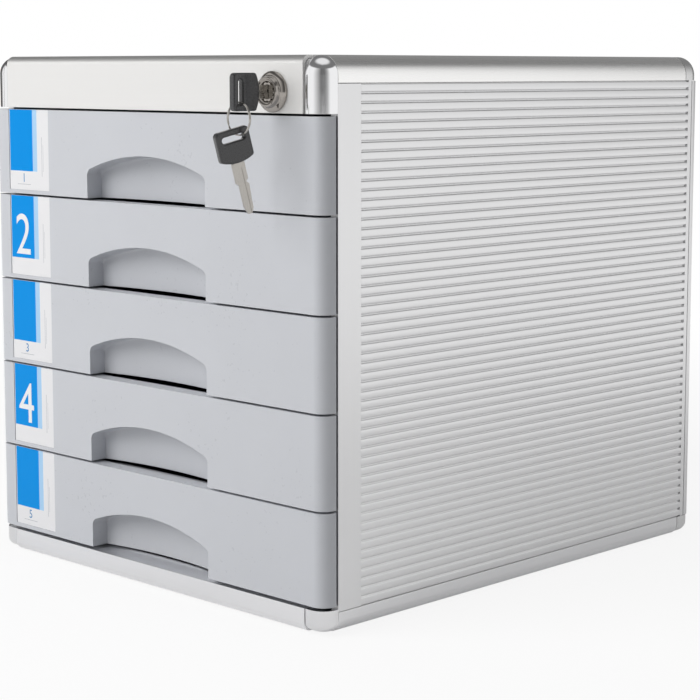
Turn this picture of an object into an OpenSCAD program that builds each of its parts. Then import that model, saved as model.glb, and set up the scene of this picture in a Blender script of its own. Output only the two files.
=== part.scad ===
// Desktop file cabinet: a free-standing frame of aluminium profiles with grooved side
// panels, chromed corner caps, five plastic drawers and one lock that bars them all.
// Millimetres. The origin is the middle of the whole outline, with the keys that hang in
// front, on the surface that it stands on. +X is to the right seen from the front, +Y to
// the back and +Z up.

/* [Cabinet] */
// Width over the side panels
cab_w = 304; // [290:1:330]
// Depth from the drawer fronts to the back edge
cab_d = 356; // [350:1:400]
// Height of the beam above the drawers
header_h = 32.2; // [30:0.1:45]
// Height of the base beam
base_h = 13.8; // [12:0.1:25]
// How far the feet stand out below the base
foot_h = 1.5; // [0.5:0.1:6]
// Radius of the feet
foot_r = 9; // [5:0.5:15]
// Distance of the feet from the side and front edges
foot_inset = 40; // [36:1:70]

/* [Aluminium profiles] */
// Height of the top rails
rail_size = 15.4; // [13:0.1:20]
// Outer radius of the side top rails
rail_r = 12; // [6:0.5:12]
// Height of the side base rails
base_rail_h = 12; // [9:0.1:13]
// Outer radius under the base
base_r = 7; // [3:0.5:8]
// Wall of every hollow profile
profile_wall = 1.8; // [1.2:0.1:2.4]
// Width of the front posts, along the side
post_w = 18.2; // [14:0.1:24]
// Thickness of the posts, inwards
post_t = 5.5; // [5:0.1:7]
// Width of the back posts, along the side
back_post_w = 13; // [11:0.1:16]
// Radius of the header's front edge
header_r = 5; // [2:0.5:8]
// Depth of the header and of the base beam, inwards
beam_d = 28; // [24:0.5:28]
// Wall of the header's face
header_wall = 2.5; // [1.8:0.1:3]

/* [Side panels] */
// Thickness of a side panel
panel_t = 2; // [1.6:0.1:3]
// Distance from one groove to the next
groove_pitch = 5.38; // [4:0.01:8]
// Depth of a groove
groove_depth = 0.7; // [0.3:0.05:1]
// Width of a groove at the surface
groove_w = 1.7; // [1:0.1:2.5]

/* [Corner caps] */
// Width of the caps and of the rails between them, seen from the front
cap_w = 15.3; // [13:0.1:20]
// Depth of the back caps and of the back rails
back_cap = 16; // [15.5:0.1:20]
// Radius of the vertical edges
corner_r = 8; // [4:0.5:9]
// Radius over the top of a cap
cap_dome_r = 9; // [4:0.5:10]
// Length of a tenon
tenon_l = 8; // [4:0.5:10]

/* [Drawer fronts] */
// Height of a drawer front
front_h = 53.8; // [50:0.1:62]
// Gap between two drawer fronts
front_gap = 1.3; // [1:0.1:2.5]
// Gap between the lowest front and the base beam
base_gap = 2; // [1.2:0.1:4]
// Depth of a front's side return
front_wrap = 10.8; // [10:0.1:12]
// Gap between a side return and the post behind it
wrap_gap = 1; // [0.6:0.1:2]
// Wall of a front
front_wall = 2.2; // [1.8:0.1:2.8]
// Depth of a front where it meets its tray
front_d = 20; // [20:0.1:24]
// Distance of the rim that meets the tray from the cabinet's sides
rim_inset = 12; // [11:0.5:14]
// Width of the finger recess
recess_w = 110; // [90:1:130]
// Height of the recess at its ends
recess_side_h = 17.2; // [14:0.1:22]
// Rise of its arch
recess_rise = 10.4; // [6:0.1:14]
// Depth of the recess at its ends
recess_d = 11.5; // [9:0.1:12]
// How much deeper it is in the middle
recess_bow = 5.5; // [2:0.1:5.5]

/* [Label cards] */
// Width of a card
card_w = 42; // [30:0.5:50]
// Thickness of a card
card_t = 0.6; // [0.3:0.1:0.8]
// Distance of the card from the left side
card_inset = 16; // [14:0.5:20]
// Height of the lip under a card
card_lip = 2.5; // [2:0.1:5]
// Depth of the pocket that a card lies in
card_pocket = 1; // [0.9:0.1:1.2]

/* [Trays] */
// Distance of a tray's walls from the cabinet's sides
tray_inset = 20; // [19:0.5:21]
// Length of a tray
tray_l = 313; // [305:0.5:313]
// Distance of a tray's upper edge below that of its front
tray_drop = 6.8; // [5:0.1:8.8]
// Height of a tray's floor above the lower edge of its front
tray_lift = 3; // [2.6:0.1:4]
// Wall and floor of a tray
tray_wall = 2; // [1.5:0.1:2.4]
// Width of the flanges that a tray hangs by
flange_w = 9.5; // [8.5:0.1:9.5]
// Thickness of the flanges
flange_t = 2.2; // [1.8:0.1:2.4]
// How far a drawer pulls out
travel = 210; // [150:1:215]
// Height of the stop lugs at the back of a tray
lug_h = 6; // [4:0.5:7]

/* [Guides] */
// Thickness of a guide plate
guide_t = 2.5; // [2:0.1:3]
// Thickness of a guide's ledges
ledge_t = 2.5; // [2:0.1:3]
// Clearance between a ledge and the flange above it
slide_gap = 0.3; // [0.2:0.05:0.4]
// Distance from the front face to the first of the ledges
ledge_start = 46; // [46:0.5:56]

/* [Lock] */
// Distance of the lock's axis from the right side
lock_inset = 39; // [37:0.5:60]
// Distance of the lock's axis from the top
lock_drop = 20.3; // [18:0.1:20.3]
// Radius of the bezel
bezel_r = 11.5; // [10:0.1:11.5]
// Radius of the lock's barrel
barrel_r = 8; // [7.4:0.1:8]
// Length of the barrel behind the front face
barrel_l = 29; // [27:0.1:29]
// Radius of the plug that the key turns
plug_r = 5.8; // [5.4:0.1:6]
// Running clearance of the plug in the barrel
plug_fit = 0.05; // [0.02:0.01:0.08]
// How far the lock bar moves down
bar_drop = 8; // [7:0.1:8]
// Thickness of the lock bar's sheet
bar_t = 1.6; // [1.2:0.1:1.8]
// Height of a tongue on the lock bar
tongue_h = 5; // [4:0.1:5]
// Radius of the cam's pin
pin_r = 1.5; // [1.2:0.1:1.6]

/* [Keys] */
// Length of a key's head
head_l = 19; // [18:0.1:21]
// Width of a key's head
head_w = 21; // [20:0.1:22]
// Thickness of a key's head
head_t = 4.6; // [4.2:0.1:4.8]
// Chamfer round a key's head
head_bevel = 0.9; // [0.7:0.05:1]
// Whole length of a key
key_l = 48; // [46:0.1:48]
// Thickness of a key's blade
blade_t = 1.9; // [1.5:0.1:2]
// Width of a key's blade
blade_w = 7.6; // [7:0.1:8]
// Length of the slot in a head
slot_l = 14; // [13:0.1:14]
// Width of the slot in a head
slot_w = 3.4; // [3.2:0.1:3.6]
// Middle of the slot from the head's end
slot_in = 5.2; // [5:0.1:5.6]
// Middle radius of the key ring
ring_r = 9; // [8.4:0.1:9]
// Thickness of the key ring's wire
wire_d = 1.5; // [1.2:0.1:1.6]
// How far the spare key is turned about the upright
spare_yaw = 15; // [0:1:18]

/* [Hidden] */
DRAWERS = 5;
$fn = 48;
EPS = 1;

// Colours
silver = [0.80, 0.80, 0.80];
warm_silver = [0.84, 0.83, 0.81];
chrome = [0.62, 0.62, 0.64];
grey_plastic = [0.70, 0.72, 0.76];
guide_grey = [0.55, 0.56, 0.58];
card_blue = [0.10, 0.45, 0.80];
black_plastic = [0.10, 0.10, 0.11];
steel = [0.60, 0.60, 0.61];
rubber_black = [0.08, 0.08, 0.08];

// The spare key hangs by one end of its slot, so it tilts until its weight is below the ring
// that holds it. The first key stands in the lock with its head this far out.
key_out = 12;
spare_weight_in = 22.8;
spare_at = [slot_in - slot_w / 2 + wire_d / 2 + 0.4, 4.6];
spare_tilt = atan(spare_at[1] / (spare_weight_in - spare_at[0]));
head_corner = 2.6;
spare_corner_y = (head_corner - spare_at[0]) * sin(spare_tilt) - head_corner
               - (head_w / 2 - head_corner + spare_at[1]) * cos(spare_tilt);
spare_edge_y = spare_corner_y * cos(spare_yaw) - (head_t / 2 - head_bevel) * sin(spare_yaw);
key_reach = key_out + head_l - slot_in - spare_edge_y;

// Outline of the cabinet
half_w = cab_w / 2;
front_y = (key_reach - cab_d) / 2;
back_y = front_y + cab_d;
base_top = foot_h + base_h;
front_pitch = front_h + front_gap;
fronts_top = base_top + base_gap + DRAWERS * front_pitch - front_gap;
header_z = fronts_top + front_gap;
cab_h = header_z + header_h;
rail_z = cab_h - rail_size;
base_rail_top = foot_h + base_rail_h;

// Lines along the depth
wrap_y = front_y + front_wrap;
post_y = wrap_y + wrap_gap;
panel_front_y = post_y + post_w;
panel_back_y = back_y - back_post_w;
rail_back_y = back_y - back_cap;
tray_y = front_y + front_d;
beam_back_y = front_y + beam_d;

// Lines across the width
post_x = half_w - post_t;
guide_x = post_x - guide_t;
tray_x = half_w - tray_inset;
tray_top = front_h - tray_drop;
flange_x = tray_x + flange_w;
beam_x = half_w - cap_w;

// Fits and small parts
fit = 0.1;
base_beam_r = 5;
lip_d = 10;
sheet_t = 1.5;
pan_z = foot_h + 1.5;
top_panel_t = 2;
top_panel_drop = 0.5;
back_seam_w = 0.8;
back_seam_in = 9.6;
back_edge_r = 3;
back_flange_w = 10;
back_panel_y = back_y - 6;
screw_r = 1.4;
screw_head_r = 3;
screw_head_t = 1.5;

// Lower edge of drawer number n, with 1 at the top
function drawer_z(n) = fronts_top - front_h - (n - 1) * front_pitch;

// ---------- helpers ----------

// Extrudes an outline of Y and Z along X
module along_x(from, to) {
  translate([from, 0, 0]) rotate([90, 0, 90]) linear_extrude(to - from) children();
}

// Extrudes an outline of X and Z along Y
module along_y(from, to) {
  translate([0, to, 0]) rotate([90, 0, 0]) linear_extrude(to - from) children();
}

// Box between two corners
module block(low, high) {
  translate(low) cube(high - low);
}

// Rod along Y between two places
module rod_y(from, to, r) {
  translate([0, to, 0]) rotate([90, 0, 0]) cylinder(h = to - from, r = r);
}

// Keeps the right side, or mirrors it to the left
module on_side(side) {
  if (side < 0) mirror([1, 0, 0]) children();
  else children();
}

// Rectangle between two corners
module rect(low, high) {
  translate(low) square(high - low);
}

// Rectangle whose high corner is rounded
module round_high(low, high, r) {
  difference() {
    rect(low, high);
    translate(high - [r, r]) difference() {
      square(r + EPS);
      circle(r);
    }
  }
}

// Hollow rectangle whose high corner is rounded
module hollow_high(low, high, r, wall) {
  difference() {
    round_high(low, high, r);
    round_high(low + [wall, wall], high - [wall, wall], r - wall);
  }
}

// Screw along Y with its head at the far end
module screw_y(tip, head) {
  rod_y(tip, head + screw_head_t / 2, screw_r);
  rod_y(head, head + screw_head_t, screw_head_r);
}

// ---------- base ----------

module feet() {
  color(rubber_black)
    for (x = [-1, 1], y = [-1, 1])
      translate([x * (half_w - foot_inset), (front_y + back_y) / 2 + y * (cab_d / 2 - foot_inset), 0])
        cylinder(h = pan_z, r = foot_r);
}

module base_pan() {
  color(silver)
    block([-beam_x, beam_back_y, pan_z], [beam_x, rail_back_y, pan_z + sheet_t]);
}

step_in = 12;

// The low bevelled step on the base beam that the lowest front closes against
module base_step() {
  step_y = front_y + step_in;
  step_h = base_gap / 2;
  polygon([
    [step_y, base_top - EPS], [step_y, base_top], [step_y + 2 * step_h, base_top + step_h],
    [step_y + 6, base_top + step_h], [step_y + 6, base_top - EPS]
  ]);
}

module base_front() {
  color(silver) along_x(-beam_x, beam_x) {
    mirror([1, 0]) mirror([0, 1])
      hollow_high([-beam_back_y, -base_top], [-front_y, -foot_h], base_beam_r, profile_wall);
    base_step();
  }
}

module base_rail(side) {
  color(silver) on_side(side) along_y(post_y, rail_back_y) mirror([0, 1])
    hollow_high([beam_x, -base_rail_top], [half_w, -foot_h], base_r, profile_wall);
}

module base_rail_back() {
  color(silver) along_x(-beam_x, beam_x) mirror([0, 1])
    hollow_high([rail_back_y, -base_rail_top], [back_y, -foot_h], base_r, profile_wall);
}

// ---------- sides and back ----------

groove_count = floor((rail_z - base_rail_top - groove_w) / groove_pitch);
first_groove = (rail_z + base_rail_top - (groove_count - 1) * groove_pitch) / 2;
grooved_edge = [
  for (i = [0:groove_count - 1], corner = [-1, 0, 1])
    [half_w - (corner == 0 ? groove_depth : 0),
     first_groove + i * groove_pitch + corner * groove_w / 2]
];

module side_panel(side) {
  inner_x = half_w - panel_t;
  color(silver) on_side(side) along_y(panel_front_y, panel_back_y)
    polygon(concat([[inner_x, base_rail_top], [half_w, base_rail_top]], grooved_edge,
                   [[half_w, rail_z], [inner_x, rail_z]]));
}

// Holes and screws of the guides lie midway between the ledges
guide_screw_z = [for (n = [2, 4]) drawer_z(n) + front_pitch / 2];
front_screw_y = post_y + post_w / 2;
back_screw_y = panel_back_y + 2;

module guide_screw_places() {
  for (y = [front_screw_y, back_screw_y], z = guide_screw_z)
    translate([0, y, z]) rotate([0, 90, 0]) children();
}

module front_post(side) {
  color(silver) on_side(side) difference() {
    block([post_x, post_y, base_rail_top], [half_w, panel_front_y, rail_z]);
    block([post_x + profile_wall, post_y + profile_wall, base_rail_top - EPS],
          [half_w - profile_wall, panel_front_y - profile_wall, rail_z + EPS]);
    guide_screw_places() cylinder(h = post_x + profile_wall + EPS, r = screw_r);
  }
}

back_screw_x = post_x - back_flange_w / 2;
back_screw_z = [for (i = [0:3]) base_rail_top + (rail_z - base_rail_top) * (i + 0.5) / 4];

module back_post(side) {
  seam_y = back_y - back_seam_in;
  color(silver) on_side(side) difference() {
    union() {
      translate([0, 0, base_rail_top]) linear_extrude(rail_z - base_rail_top)
        hollow_high([post_x, panel_back_y], [half_w, back_y], back_edge_r, profile_wall);
      block([post_x - back_flange_w, back_panel_y - profile_wall, base_rail_top],
            [post_x + profile_wall / 2, back_panel_y, rail_z]);
    }
    block([half_w - back_seam_w, seam_y, base_rail_top - EPS],
          [half_w + EPS, seam_y + back_seam_w, rail_z + EPS]);
    guide_screw_places() cylinder(h = post_x + profile_wall + EPS, r = screw_r);
    for (z = back_screw_z)
      translate([back_screw_x, 0, z]) rod_y(0, back_panel_y + EPS, screw_r);
  }
}

module back_panel() {
  color(silver) difference() {
    block([-post_x, back_panel_y, base_rail_top], [post_x, back_panel_y + sheet_t, rail_z]);
    for (x = [-1, 1], z = back_screw_z)
      translate([x * back_screw_x, 0, z]) rod_y(0, back_y, screw_r);
  }
}

module back_screws() {
  color(steel) for (x = [-1, 1], z = back_screw_z)
    translate([x * back_screw_x, 0, z])
      screw_y(back_panel_y - 2 * profile_wall, back_panel_y + sheet_t);
}

// ---------- top ----------

module top_rail(side) {
  color(warm_silver) on_side(side) along_y(post_y, rail_back_y)
    hollow_high([beam_x, rail_z], [half_w, cab_h], rail_r, profile_wall);
}

module top_rail_back() {
  color(warm_silver) along_x(-beam_x, beam_x)
    hollow_high([rail_back_y, rail_z], [back_y, cab_h], cap_dome_r, profile_wall);
}

module top_panel() {
  top = cab_h - top_panel_drop;
  color(warm_silver)
    block([-beam_x, beam_back_y, top - top_panel_t], [beam_x, rail_back_y, top]);
}

// ---------- corner caps ----------

// Corner block whose upright edge and upper edges are rounded
module corner_block(low, high, plan_r, side_r, front_r) {
  intersection() {
    translate([0, 0, low.z]) linear_extrude(high.z - low.z)
      round_high([low.x, low.y], [high.x, high.y], plan_r);
    along_y(low.y - EPS, high.y + EPS) round_high([low.x, low.z], [high.x, high.z], front_r);
    along_x(low.x - EPS, high.x + EPS) round_high([low.y, low.z], [high.y, high.z], side_r);
  }
}

// The tenons of a front cap reach into the hollow beam and the hollow rail beside it
module cap_top(side) {
  beam_low = front_y + header_wall + fit;
  rail_low = beam_x + profile_wall + fit;
  color(chrome) on_side(side) {
    mirror([0, 1, 0])
      corner_block([beam_x, -post_y, header_z], [half_w, -front_y, cab_h],
                   corner_r, cap_dome_r, cap_dome_r);
    block([beam_x - tenon_l, beam_low, header_z + header_wall],
          [beam_x + EPS, front_y + lip_d - fit, cab_h - header_r]);
    block([rail_low, post_y - EPS, rail_z + profile_wall + fit],
          [half_w - rail_r / 2, post_y + tenon_l, cab_h - rail_r / 2]);
  }
}

module cap_base(side) {
  beam_low = front_y + profile_wall + fit;
  rail_low = beam_x + profile_wall + fit;
  inner_low = foot_h + profile_wall + fit;
  color(chrome) on_side(side) {
    mirror([0, 1, 0]) mirror([0, 0, 1])
      corner_block([beam_x, -post_y, -base_top], [half_w, -front_y, -foot_h],
                   corner_r, base_beam_r, base_r);
    block([beam_x - tenon_l, beam_low + base_beam_r / 2, inner_low + base_beam_r / 2],
          [beam_x + EPS, post_y - fit, base_top - profile_wall - fit]);
    block([rail_low, post_y - EPS, inner_low],
          [half_w - base_r, post_y + tenon_l, base_rail_top - profile_wall - fit]);
  }
}

module back_caps() {
  inner = profile_wall + fit;
  color(chrome) for (side = [-1, 1]) on_side(side) {
    corner_block([beam_x, rail_back_y, rail_z], [half_w, back_y, cab_h],
                 corner_r, cap_dome_r, cap_dome_r);
    block([beam_x + inner, rail_back_y - tenon_l, rail_z + inner],
          [half_w - rail_r / 2, rail_back_y + EPS, cab_h - rail_r / 2]);
    mirror([0, 0, 1])
      corner_block([beam_x, rail_back_y, -base_rail_top], [half_w, back_y, -foot_h],
                   corner_r, base_r, base_r);
    block([beam_x + inner, rail_back_y - tenon_l, foot_h + inner],
          [half_w - base_r, rail_back_y + EPS, base_rail_top - inner]);
  }
}

// ---------- header and lock ----------

lock_x = half_w - lock_inset;
lock_z = cab_h - lock_drop;
plug_front = 4.6;
bezel_h = 6;
nut_t = 4;
cam_t = 2;
cam_gap = 0.2;
barrel_y = front_y + barrel_l;
cam_y = barrel_y + cam_gap;
arm_gap = 0.8;
arm_y = cam_y + cam_t + arm_gap;

module at_lock() {
  translate([lock_x, 0, lock_z]) children();
}

module header() {
  color(warm_silver) difference() {
    along_x(-beam_x, beam_x) mirror([1, 0]) difference() {
      round_high([-beam_back_y, header_z], [-front_y, cab_h], header_r);
      round_high([-beam_back_y - EPS, header_z + profile_wall],
                 [-front_y - header_wall, cab_h - top_panel_t], header_r - top_panel_t);
      rect([-beam_back_y - EPS, header_z - EPS],
           [-front_y - lip_d, header_z + 2 * header_wall]);
    }
    at_lock() rod_y(front_y - EPS, front_y + header_wall + EPS, barrel_r);
  }
}

module lock_barrel() {
  bore = plug_r + plug_fit;
  color(chrome) translate([lock_x, front_y, lock_z]) rotate([90, 0, 0]) rotate_extrude()
    polygon([
      [bore, -barrel_l], [barrel_r, -barrel_l], [barrel_r, 0], [bezel_r, 0],
      [bezel_r, 1.2], [bezel_r - 1.2, 2.5], [bezel_r - 2.5, 3.2], [barrel_r + 0.6, 5],
      [barrel_r - 0.1, bezel_h], [plug_r + 1.2, bezel_h - 0.4], [bore, plug_front + 0.4]
    ]);
}

module lock_nut() {
  nut_y = front_y + header_wall;
  color(steel) at_lock() difference() {
    translate([0, nut_y + nut_t, 0]) rotate([90, 0, 0]) cylinder(h = nut_t, r = barrel_r + 3, $fn = 6);
    rod_y(nut_y - EPS, nut_y + nut_t + EPS, barrel_r);
  }
}

key_head_y = front_y - key_out;
key_end_y = key_head_y - head_l;
key_tip_y = key_end_y + key_l;
key_play = 0.25;

module lock_plug() {
  color(chrome) at_lock() difference() {
    rod_y(front_y - plug_front, cam_y, plug_r);
    block([-blade_t / 2 - key_play, front_y - plug_front - EPS, -blade_w / 2 - key_play],
          [blade_t / 2 + key_play, key_tip_y + EPS, blade_w / 2 + key_play]);
    rod_y(cam_y - 2 * plug_r, cam_y + EPS, screw_r);
  }
}

// The cam's pin stands half the bar's drop above the axis, and turns to as far below it
pin_at = bar_drop / 2;
pin_reach = bar_drop / sqrt(2);
cam_head_t = 1;
cam_head_r = 2.8;

module lock_cam() {
  color(steel) at_lock() {
    difference() {
      hull() {
        rod_y(cam_y, cam_y + cam_t, 4.5);
        translate([pin_at, 0, pin_at]) rod_y(cam_y, cam_y + cam_t, pin_r + 1.4);
      }
      rod_y(cam_y - EPS, cam_y + cam_t, screw_r);
      rod_y(cam_y + cam_t - cam_head_t, cam_y + cam_t + EPS, cam_head_r);
    }
    translate([pin_at, 0, pin_at]) rod_y(cam_y + cam_t / 2, arm_y + bar_t + 1, pin_r);
  }
}

module cam_screw() {
  color(steel) at_lock() {
    rod_y(cam_y - plug_r, cam_y + cam_t - cam_head_t / 2, screw_r);
    rod_y(cam_y + cam_t - cam_head_t, cam_y + cam_t, cam_head_r);
  }
}

// ---------- lock bar ----------

bar_x = guide_x - slide_gap - bar_t;
bar_w = 12;
tongue_reach = 7.4;
tongue_rise = 27;
arm_low = lock_z - 7;
arm_end_x = lock_x - 1;
slot_play = 0.3;

module lock_bar() {
  slot_z = lock_z + pin_at;
  bottom = drawer_z(DRAWERS) + tongue_rise - 4;
  arm_top = rail_z - slide_gap;
  fork_x = lock_x + pin_reach + 2 * pin_r + 2;
  slot_half = pin_r + slot_play;
  color(silver) difference() {
    union() {
      block([bar_x, arm_y, bottom], [bar_x + bar_t, arm_y + bar_w, arm_top]);
      block([arm_end_x, arm_y, arm_low], [bar_x + bar_t, arm_y + bar_t, arm_top]);
      block([arm_end_x, arm_y, arm_low], [fork_x, arm_y + bar_t, slot_z + slot_half + 2]);
      for (n = [1:DRAWERS])
        block([bar_x - tongue_reach, arm_y, drawer_z(n) + tongue_rise],
              [bar_x + bar_t / 2, arm_y + bar_t, drawer_z(n) + tongue_rise + tongue_h]);
    }
    block([lock_x + pin_at - pin_r - slot_play, arm_y - EPS, slot_z - slot_half],
          [lock_x + pin_reach + pin_r + slot_play, arm_y + bar_t + EPS, slot_z + slot_half]);
  }
}

// ---------- guides ----------

function flange_z(n) = drawer_z(n) + tray_top - flange_t;
function ledge_top(n) = flange_z(n) - slide_gap;
ledge_x = tray_x + 2.5;
ledge_y = front_y + ledge_start;
lug_l = 6;
lug_y = tray_y + tray_l - lug_l - 2;
stop_y = lug_y - travel - slide_gap;

module guide(side) {
  back = back_panel_y - profile_wall;
  rooted_x = guide_x + guide_t / 2;
  color(guide_grey) on_side(side) difference() {
    union() {
      block([guide_x, post_y + 2, base_rail_top], [post_x, back, rail_z]);
      for (n = [1:DRAWERS]) {
        block([ledge_x, ledge_y, ledge_top(n) - ledge_t], [rooted_x, back, ledge_top(n)]);
        block([ledge_x, stop_y - lug_l, ledge_top(n) - ledge_t - lug_h - 1],
              [rooted_x, stop_y, ledge_top(n) - ledge_t / 2]);
      }
    }
    guide_screw_places() cylinder(h = half_w, r = screw_r);
  }
}

module guide_screws() {
  color(steel) for (side = [-1, 1]) on_side(side) guide_screw_places() {
    translate([0, 0, guide_x - screw_head_t / 2])
      cylinder(h = screw_head_t / 2 + guide_t + profile_wall + 1, r = screw_r);
    translate([0, 0, guide_x - screw_head_t]) cylinder(h = screw_head_t, r = screw_head_r);
  }
}

// ---------- keys: local Y runs from the head's end to the tip, local Z across ----------

tang_in = 9;
tang_w = 5.6;
head_end_r = 24;

module head_outline(inset) {
  half = head_w / 2 - inset;
  corner = head_corner - inset / 2;
  intersection() {
    union() {
      rect([inset, -half + corner], [head_l, half - corner]);
      rect([inset + corner, -half], [head_l, half]);
      for (s = [-1, 1]) translate([inset + corner, s * (half - corner)]) circle(corner);
    }
    translate([head_l - inset - head_end_r, 0]) circle(head_end_r);
  }
}

module slot_outline(grow) {
  half = (slot_l - slot_w) / 2;
  rect([slot_in - slot_w / 2 - grow, -half], [slot_in + slot_w / 2 + grow, half]);
  for (s = [-1, 1]) translate([slot_in, s * half]) circle(slot_w / 2 + grow);
}

// Layer of an outline of Y and Z between two places on X
module layer(from, to) {
  along_x(from, to) children();
}

module key_head() {
  half = head_t / 2;
  skin = 0.01;
  color(black_plastic) difference() {
    hull($fn = 32) {
      layer(-half, half) head_outline(head_bevel);
      layer(head_bevel - half, half - head_bevel) head_outline(0);
    }
    layer(-half - EPS, half + EPS) slot_outline(0);
    for (s = [-1, 1]) hull($fn = 32) {
      translate([s * (half - head_bevel), 0, 0]) layer(-skin, skin) slot_outline(0);
      translate([s * (half + skin), 0, 0]) layer(-skin, skin) slot_outline(head_bevel);
    }
    block([-blade_t / 2, head_l - tang_in, -tang_w / 2], [blade_t / 2, head_l + EPS, tang_w / 2]);
  }
}

module key_blade() {
  half = blade_w / 2;
  milled = 0.35;
  cut = blade_w / 5;
  shoulder = head_l + blade_w * 1.45;
  color(steel) difference() {
    layer(-blade_t / 2, blade_t / 2) polygon([
      [head_l - tang_in, -tang_w / 2], [head_l, -tang_w / 2], [head_l, -half],
      [shoulder, -half], [shoulder + cut, -half + cut], [key_l - 3 * cut, -half + cut],
      [key_l, -cut / 2], [key_l, cut], [key_l - 2 * cut, half - cut / 2],
      [key_l - 5 * cut, half - cut / 2], [shoulder + cut, half], [shoulder, half - cut],
      [shoulder - cut, half],
      [head_l, half], [head_l, tang_w / 2], [head_l - tang_in, tang_w / 2]
    ]);
    for (s = [-1, 1])
      block([s * blade_t / 2 - milled, head_l + 3, -0.9 + s * 0.5],
            [s * blade_t / 2 + milled, key_l + EPS, 0.9 + s * 0.5]);
  }
}

module as_key_1() {
  translate([lock_x, key_end_y, lock_z]) children();
}

// The ring hangs round the bar between the slot's lower end and the head's edge
bar_z = lock_z - (slot_l / 2 + head_w / 2) / 2;
bar_half = (head_w - slot_l) / 4;
bar_swing = sqrt(pow(head_t / 2, 2) + pow(bar_half - head_bevel, 2));
ring_play = 0.12;
ring_z = bar_z + bar_swing + ring_play + wire_d / 2 - ring_r;
ring_y = key_end_y + slot_in;

module key_ring() {
  color(steel) translate([lock_x, ring_y, ring_z]) rotate([90, 0, 0])
    rotate_extrude($fn = 96) translate([ring_r, 0]) circle(wire_d / 2);
}

module as_key_2() {
  translate([lock_x, ring_y, ring_z - ring_r]) rotate([0, 0, -spare_yaw])
    rotate([-90 + spare_tilt, 0, 0]) translate([0, -spare_at[0], -spare_at[1]]) children();
}

// ---------- drawers ----------

rim_x = half_w - rim_inset;
boss_r = 4;
boss_x = recess_w / 2 + 3 * boss_r + front_wall * 2;
boss_z = [14, front_h - 12];
boss_floor = 8;

// Outline of the recess in X and Z: an arch on short upright ends
module arch(half, side_h, rise, below) {
  r = (half * half + rise * rise) / (2 * rise);
  intersection() {
    translate([0, side_h + rise - r]) circle(r, $fn = 180);
    rect([-half, side_h - EPS], [half, side_h + rise + EPS]);
  }
  rect([-half, -below], [half, side_h]);
}

// Plan of the recess in X and Y: its back bows away from the fingers
module recess_plan(half, depth, bow) {
  r = (half * half + bow * bow) / (2 * bow);
  rect([-half, front_y - EPS], [half, front_y + depth]);
  intersection() {
    translate([0, front_y + depth + bow - r]) circle(r, $fn = 180);
    rect([-half, front_y + depth - EPS], [half, front_y + depth + bow + EPS]);
  }
}

module recess(grow, below) {
  half = recess_w / 2 + grow;
  intersection() {
    along_y(front_y - EPS, front_y + front_d + EPS)
      arch(half, recess_side_h + grow, recess_rise, below);
    translate([0, 0, -below]) linear_extrude(front_h + below)
      recess_plan(half, recess_d + grow, recess_bow);
  }
}

// Plan of a front in X and Y, with its two upright front edges rounded
module front_plan(inset) {
  half = half_w - inset;
  r = corner_r - inset;
  rect([-half + r, front_y + inset], [half - r, wrap_y]);
  intersection() {
    rect([-half, front_y + inset], [half, wrap_y]);
    union() {
      rect([-half, front_y + inset + r], [half, wrap_y]);
      for (s = [-1, 1]) translate([s * (half - r), front_y + inset + r]) circle(r);
    }
  }
}

module front_screw_places() {
  for (x = [-1, 1], z = boss_z) translate([x * boss_x, 0, z]) children();
}

module drawer_front(n) {
  rim_low = front_wall;
  rim_high = front_h - front_wall;
  card_x = -half_w + card_inset;
  color(grey_plastic) translate([0, 0, drawer_z(n)]) difference() {
    union() {
      difference() {
        union() {
          linear_extrude(front_h) front_plan(0);
          block([-rim_x, wrap_y - EPS, rim_low], [rim_x, tray_y, rim_high]);
        }
        difference() {
          translate([0, 0, front_wall]) linear_extrude(front_h - 2 * front_wall)
            front_plan(front_wall + card_pocket);
          block([-half_w, wrap_y - front_wall, 0], [half_w, tray_y, front_h]);
        }
        block([-rim_x + front_wall, wrap_y - 2 * front_wall, rim_low + front_wall],
              [rim_x - front_wall, tray_y + EPS, rim_high - front_wall]);
      }
      intersection() {
        recess(front_wall, -front_wall / 2);
        block([-half_w, front_y + front_wall, 0], [half_w, tray_y, front_h]);
      }
      front_screw_places() rod_y(front_y + front_wall, tray_y, boss_r);
    }
    recess(0, EPS);
    block([card_x, front_y - EPS, card_lip], [card_x + card_w, front_y + card_pocket, front_h + EPS]);
    front_screw_places() rod_y(front_y + boss_floor, tray_y + EPS, screw_r);
  }
}

module label_card(n) {
  card_x = -half_w + card_inset;
  side_play = 0.2;
  floor_y = front_y + card_pocket;
  color(card_blue) translate([0, 0, drawer_z(n)])
    block([card_x + side_play, floor_y - card_t, card_lip],
          [card_x + card_w - side_play, floor_y, front_h - side_play]);
}

// The catch lies just behind its tongue, low enough to pass under it when unlocked
catch_y = arm_y + bar_t + 0.4;
catch_l = 7;
catch_low = 15;
catch_high = tongue_rise - 1.5;

module drawer_tray(n) {
  top = tray_top;
  color(grey_plastic) translate([0, 0, drawer_z(n)]) difference() {
    union() {
      block([-tray_x, tray_y, tray_lift], [tray_x, tray_y + tray_l, top]);
      for (side = [-1, 1]) on_side(side) {
        block([tray_x - EPS, tray_y, top - flange_t], [flange_x, tray_y + tray_l, top]);
        block([tray_x - EPS, lug_y, top - flange_t - slide_gap - ledge_t - lug_h - 1],
              [guide_x - 4, lug_y + lug_l, top - flange_t - slide_gap - ledge_t - 1]);
      }
      block([tray_x - EPS, catch_y, catch_low], [bar_x - 3, catch_y + catch_l, catch_high]);
    }
    block([-tray_x + tray_wall, tray_y + tray_wall, tray_lift + tray_wall],
          [tray_x - tray_wall, tray_y + tray_l - tray_wall, top + EPS]);
    front_screw_places() rod_y(tray_y - EPS, tray_y + tray_wall + EPS, screw_r);
  }
}

module drawer_screws(n) {
  color(steel) translate([0, 0, drawer_z(n)])
    front_screw_places() screw_y(front_y + boss_floor + 1, tray_y + tray_wall);
}

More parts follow.
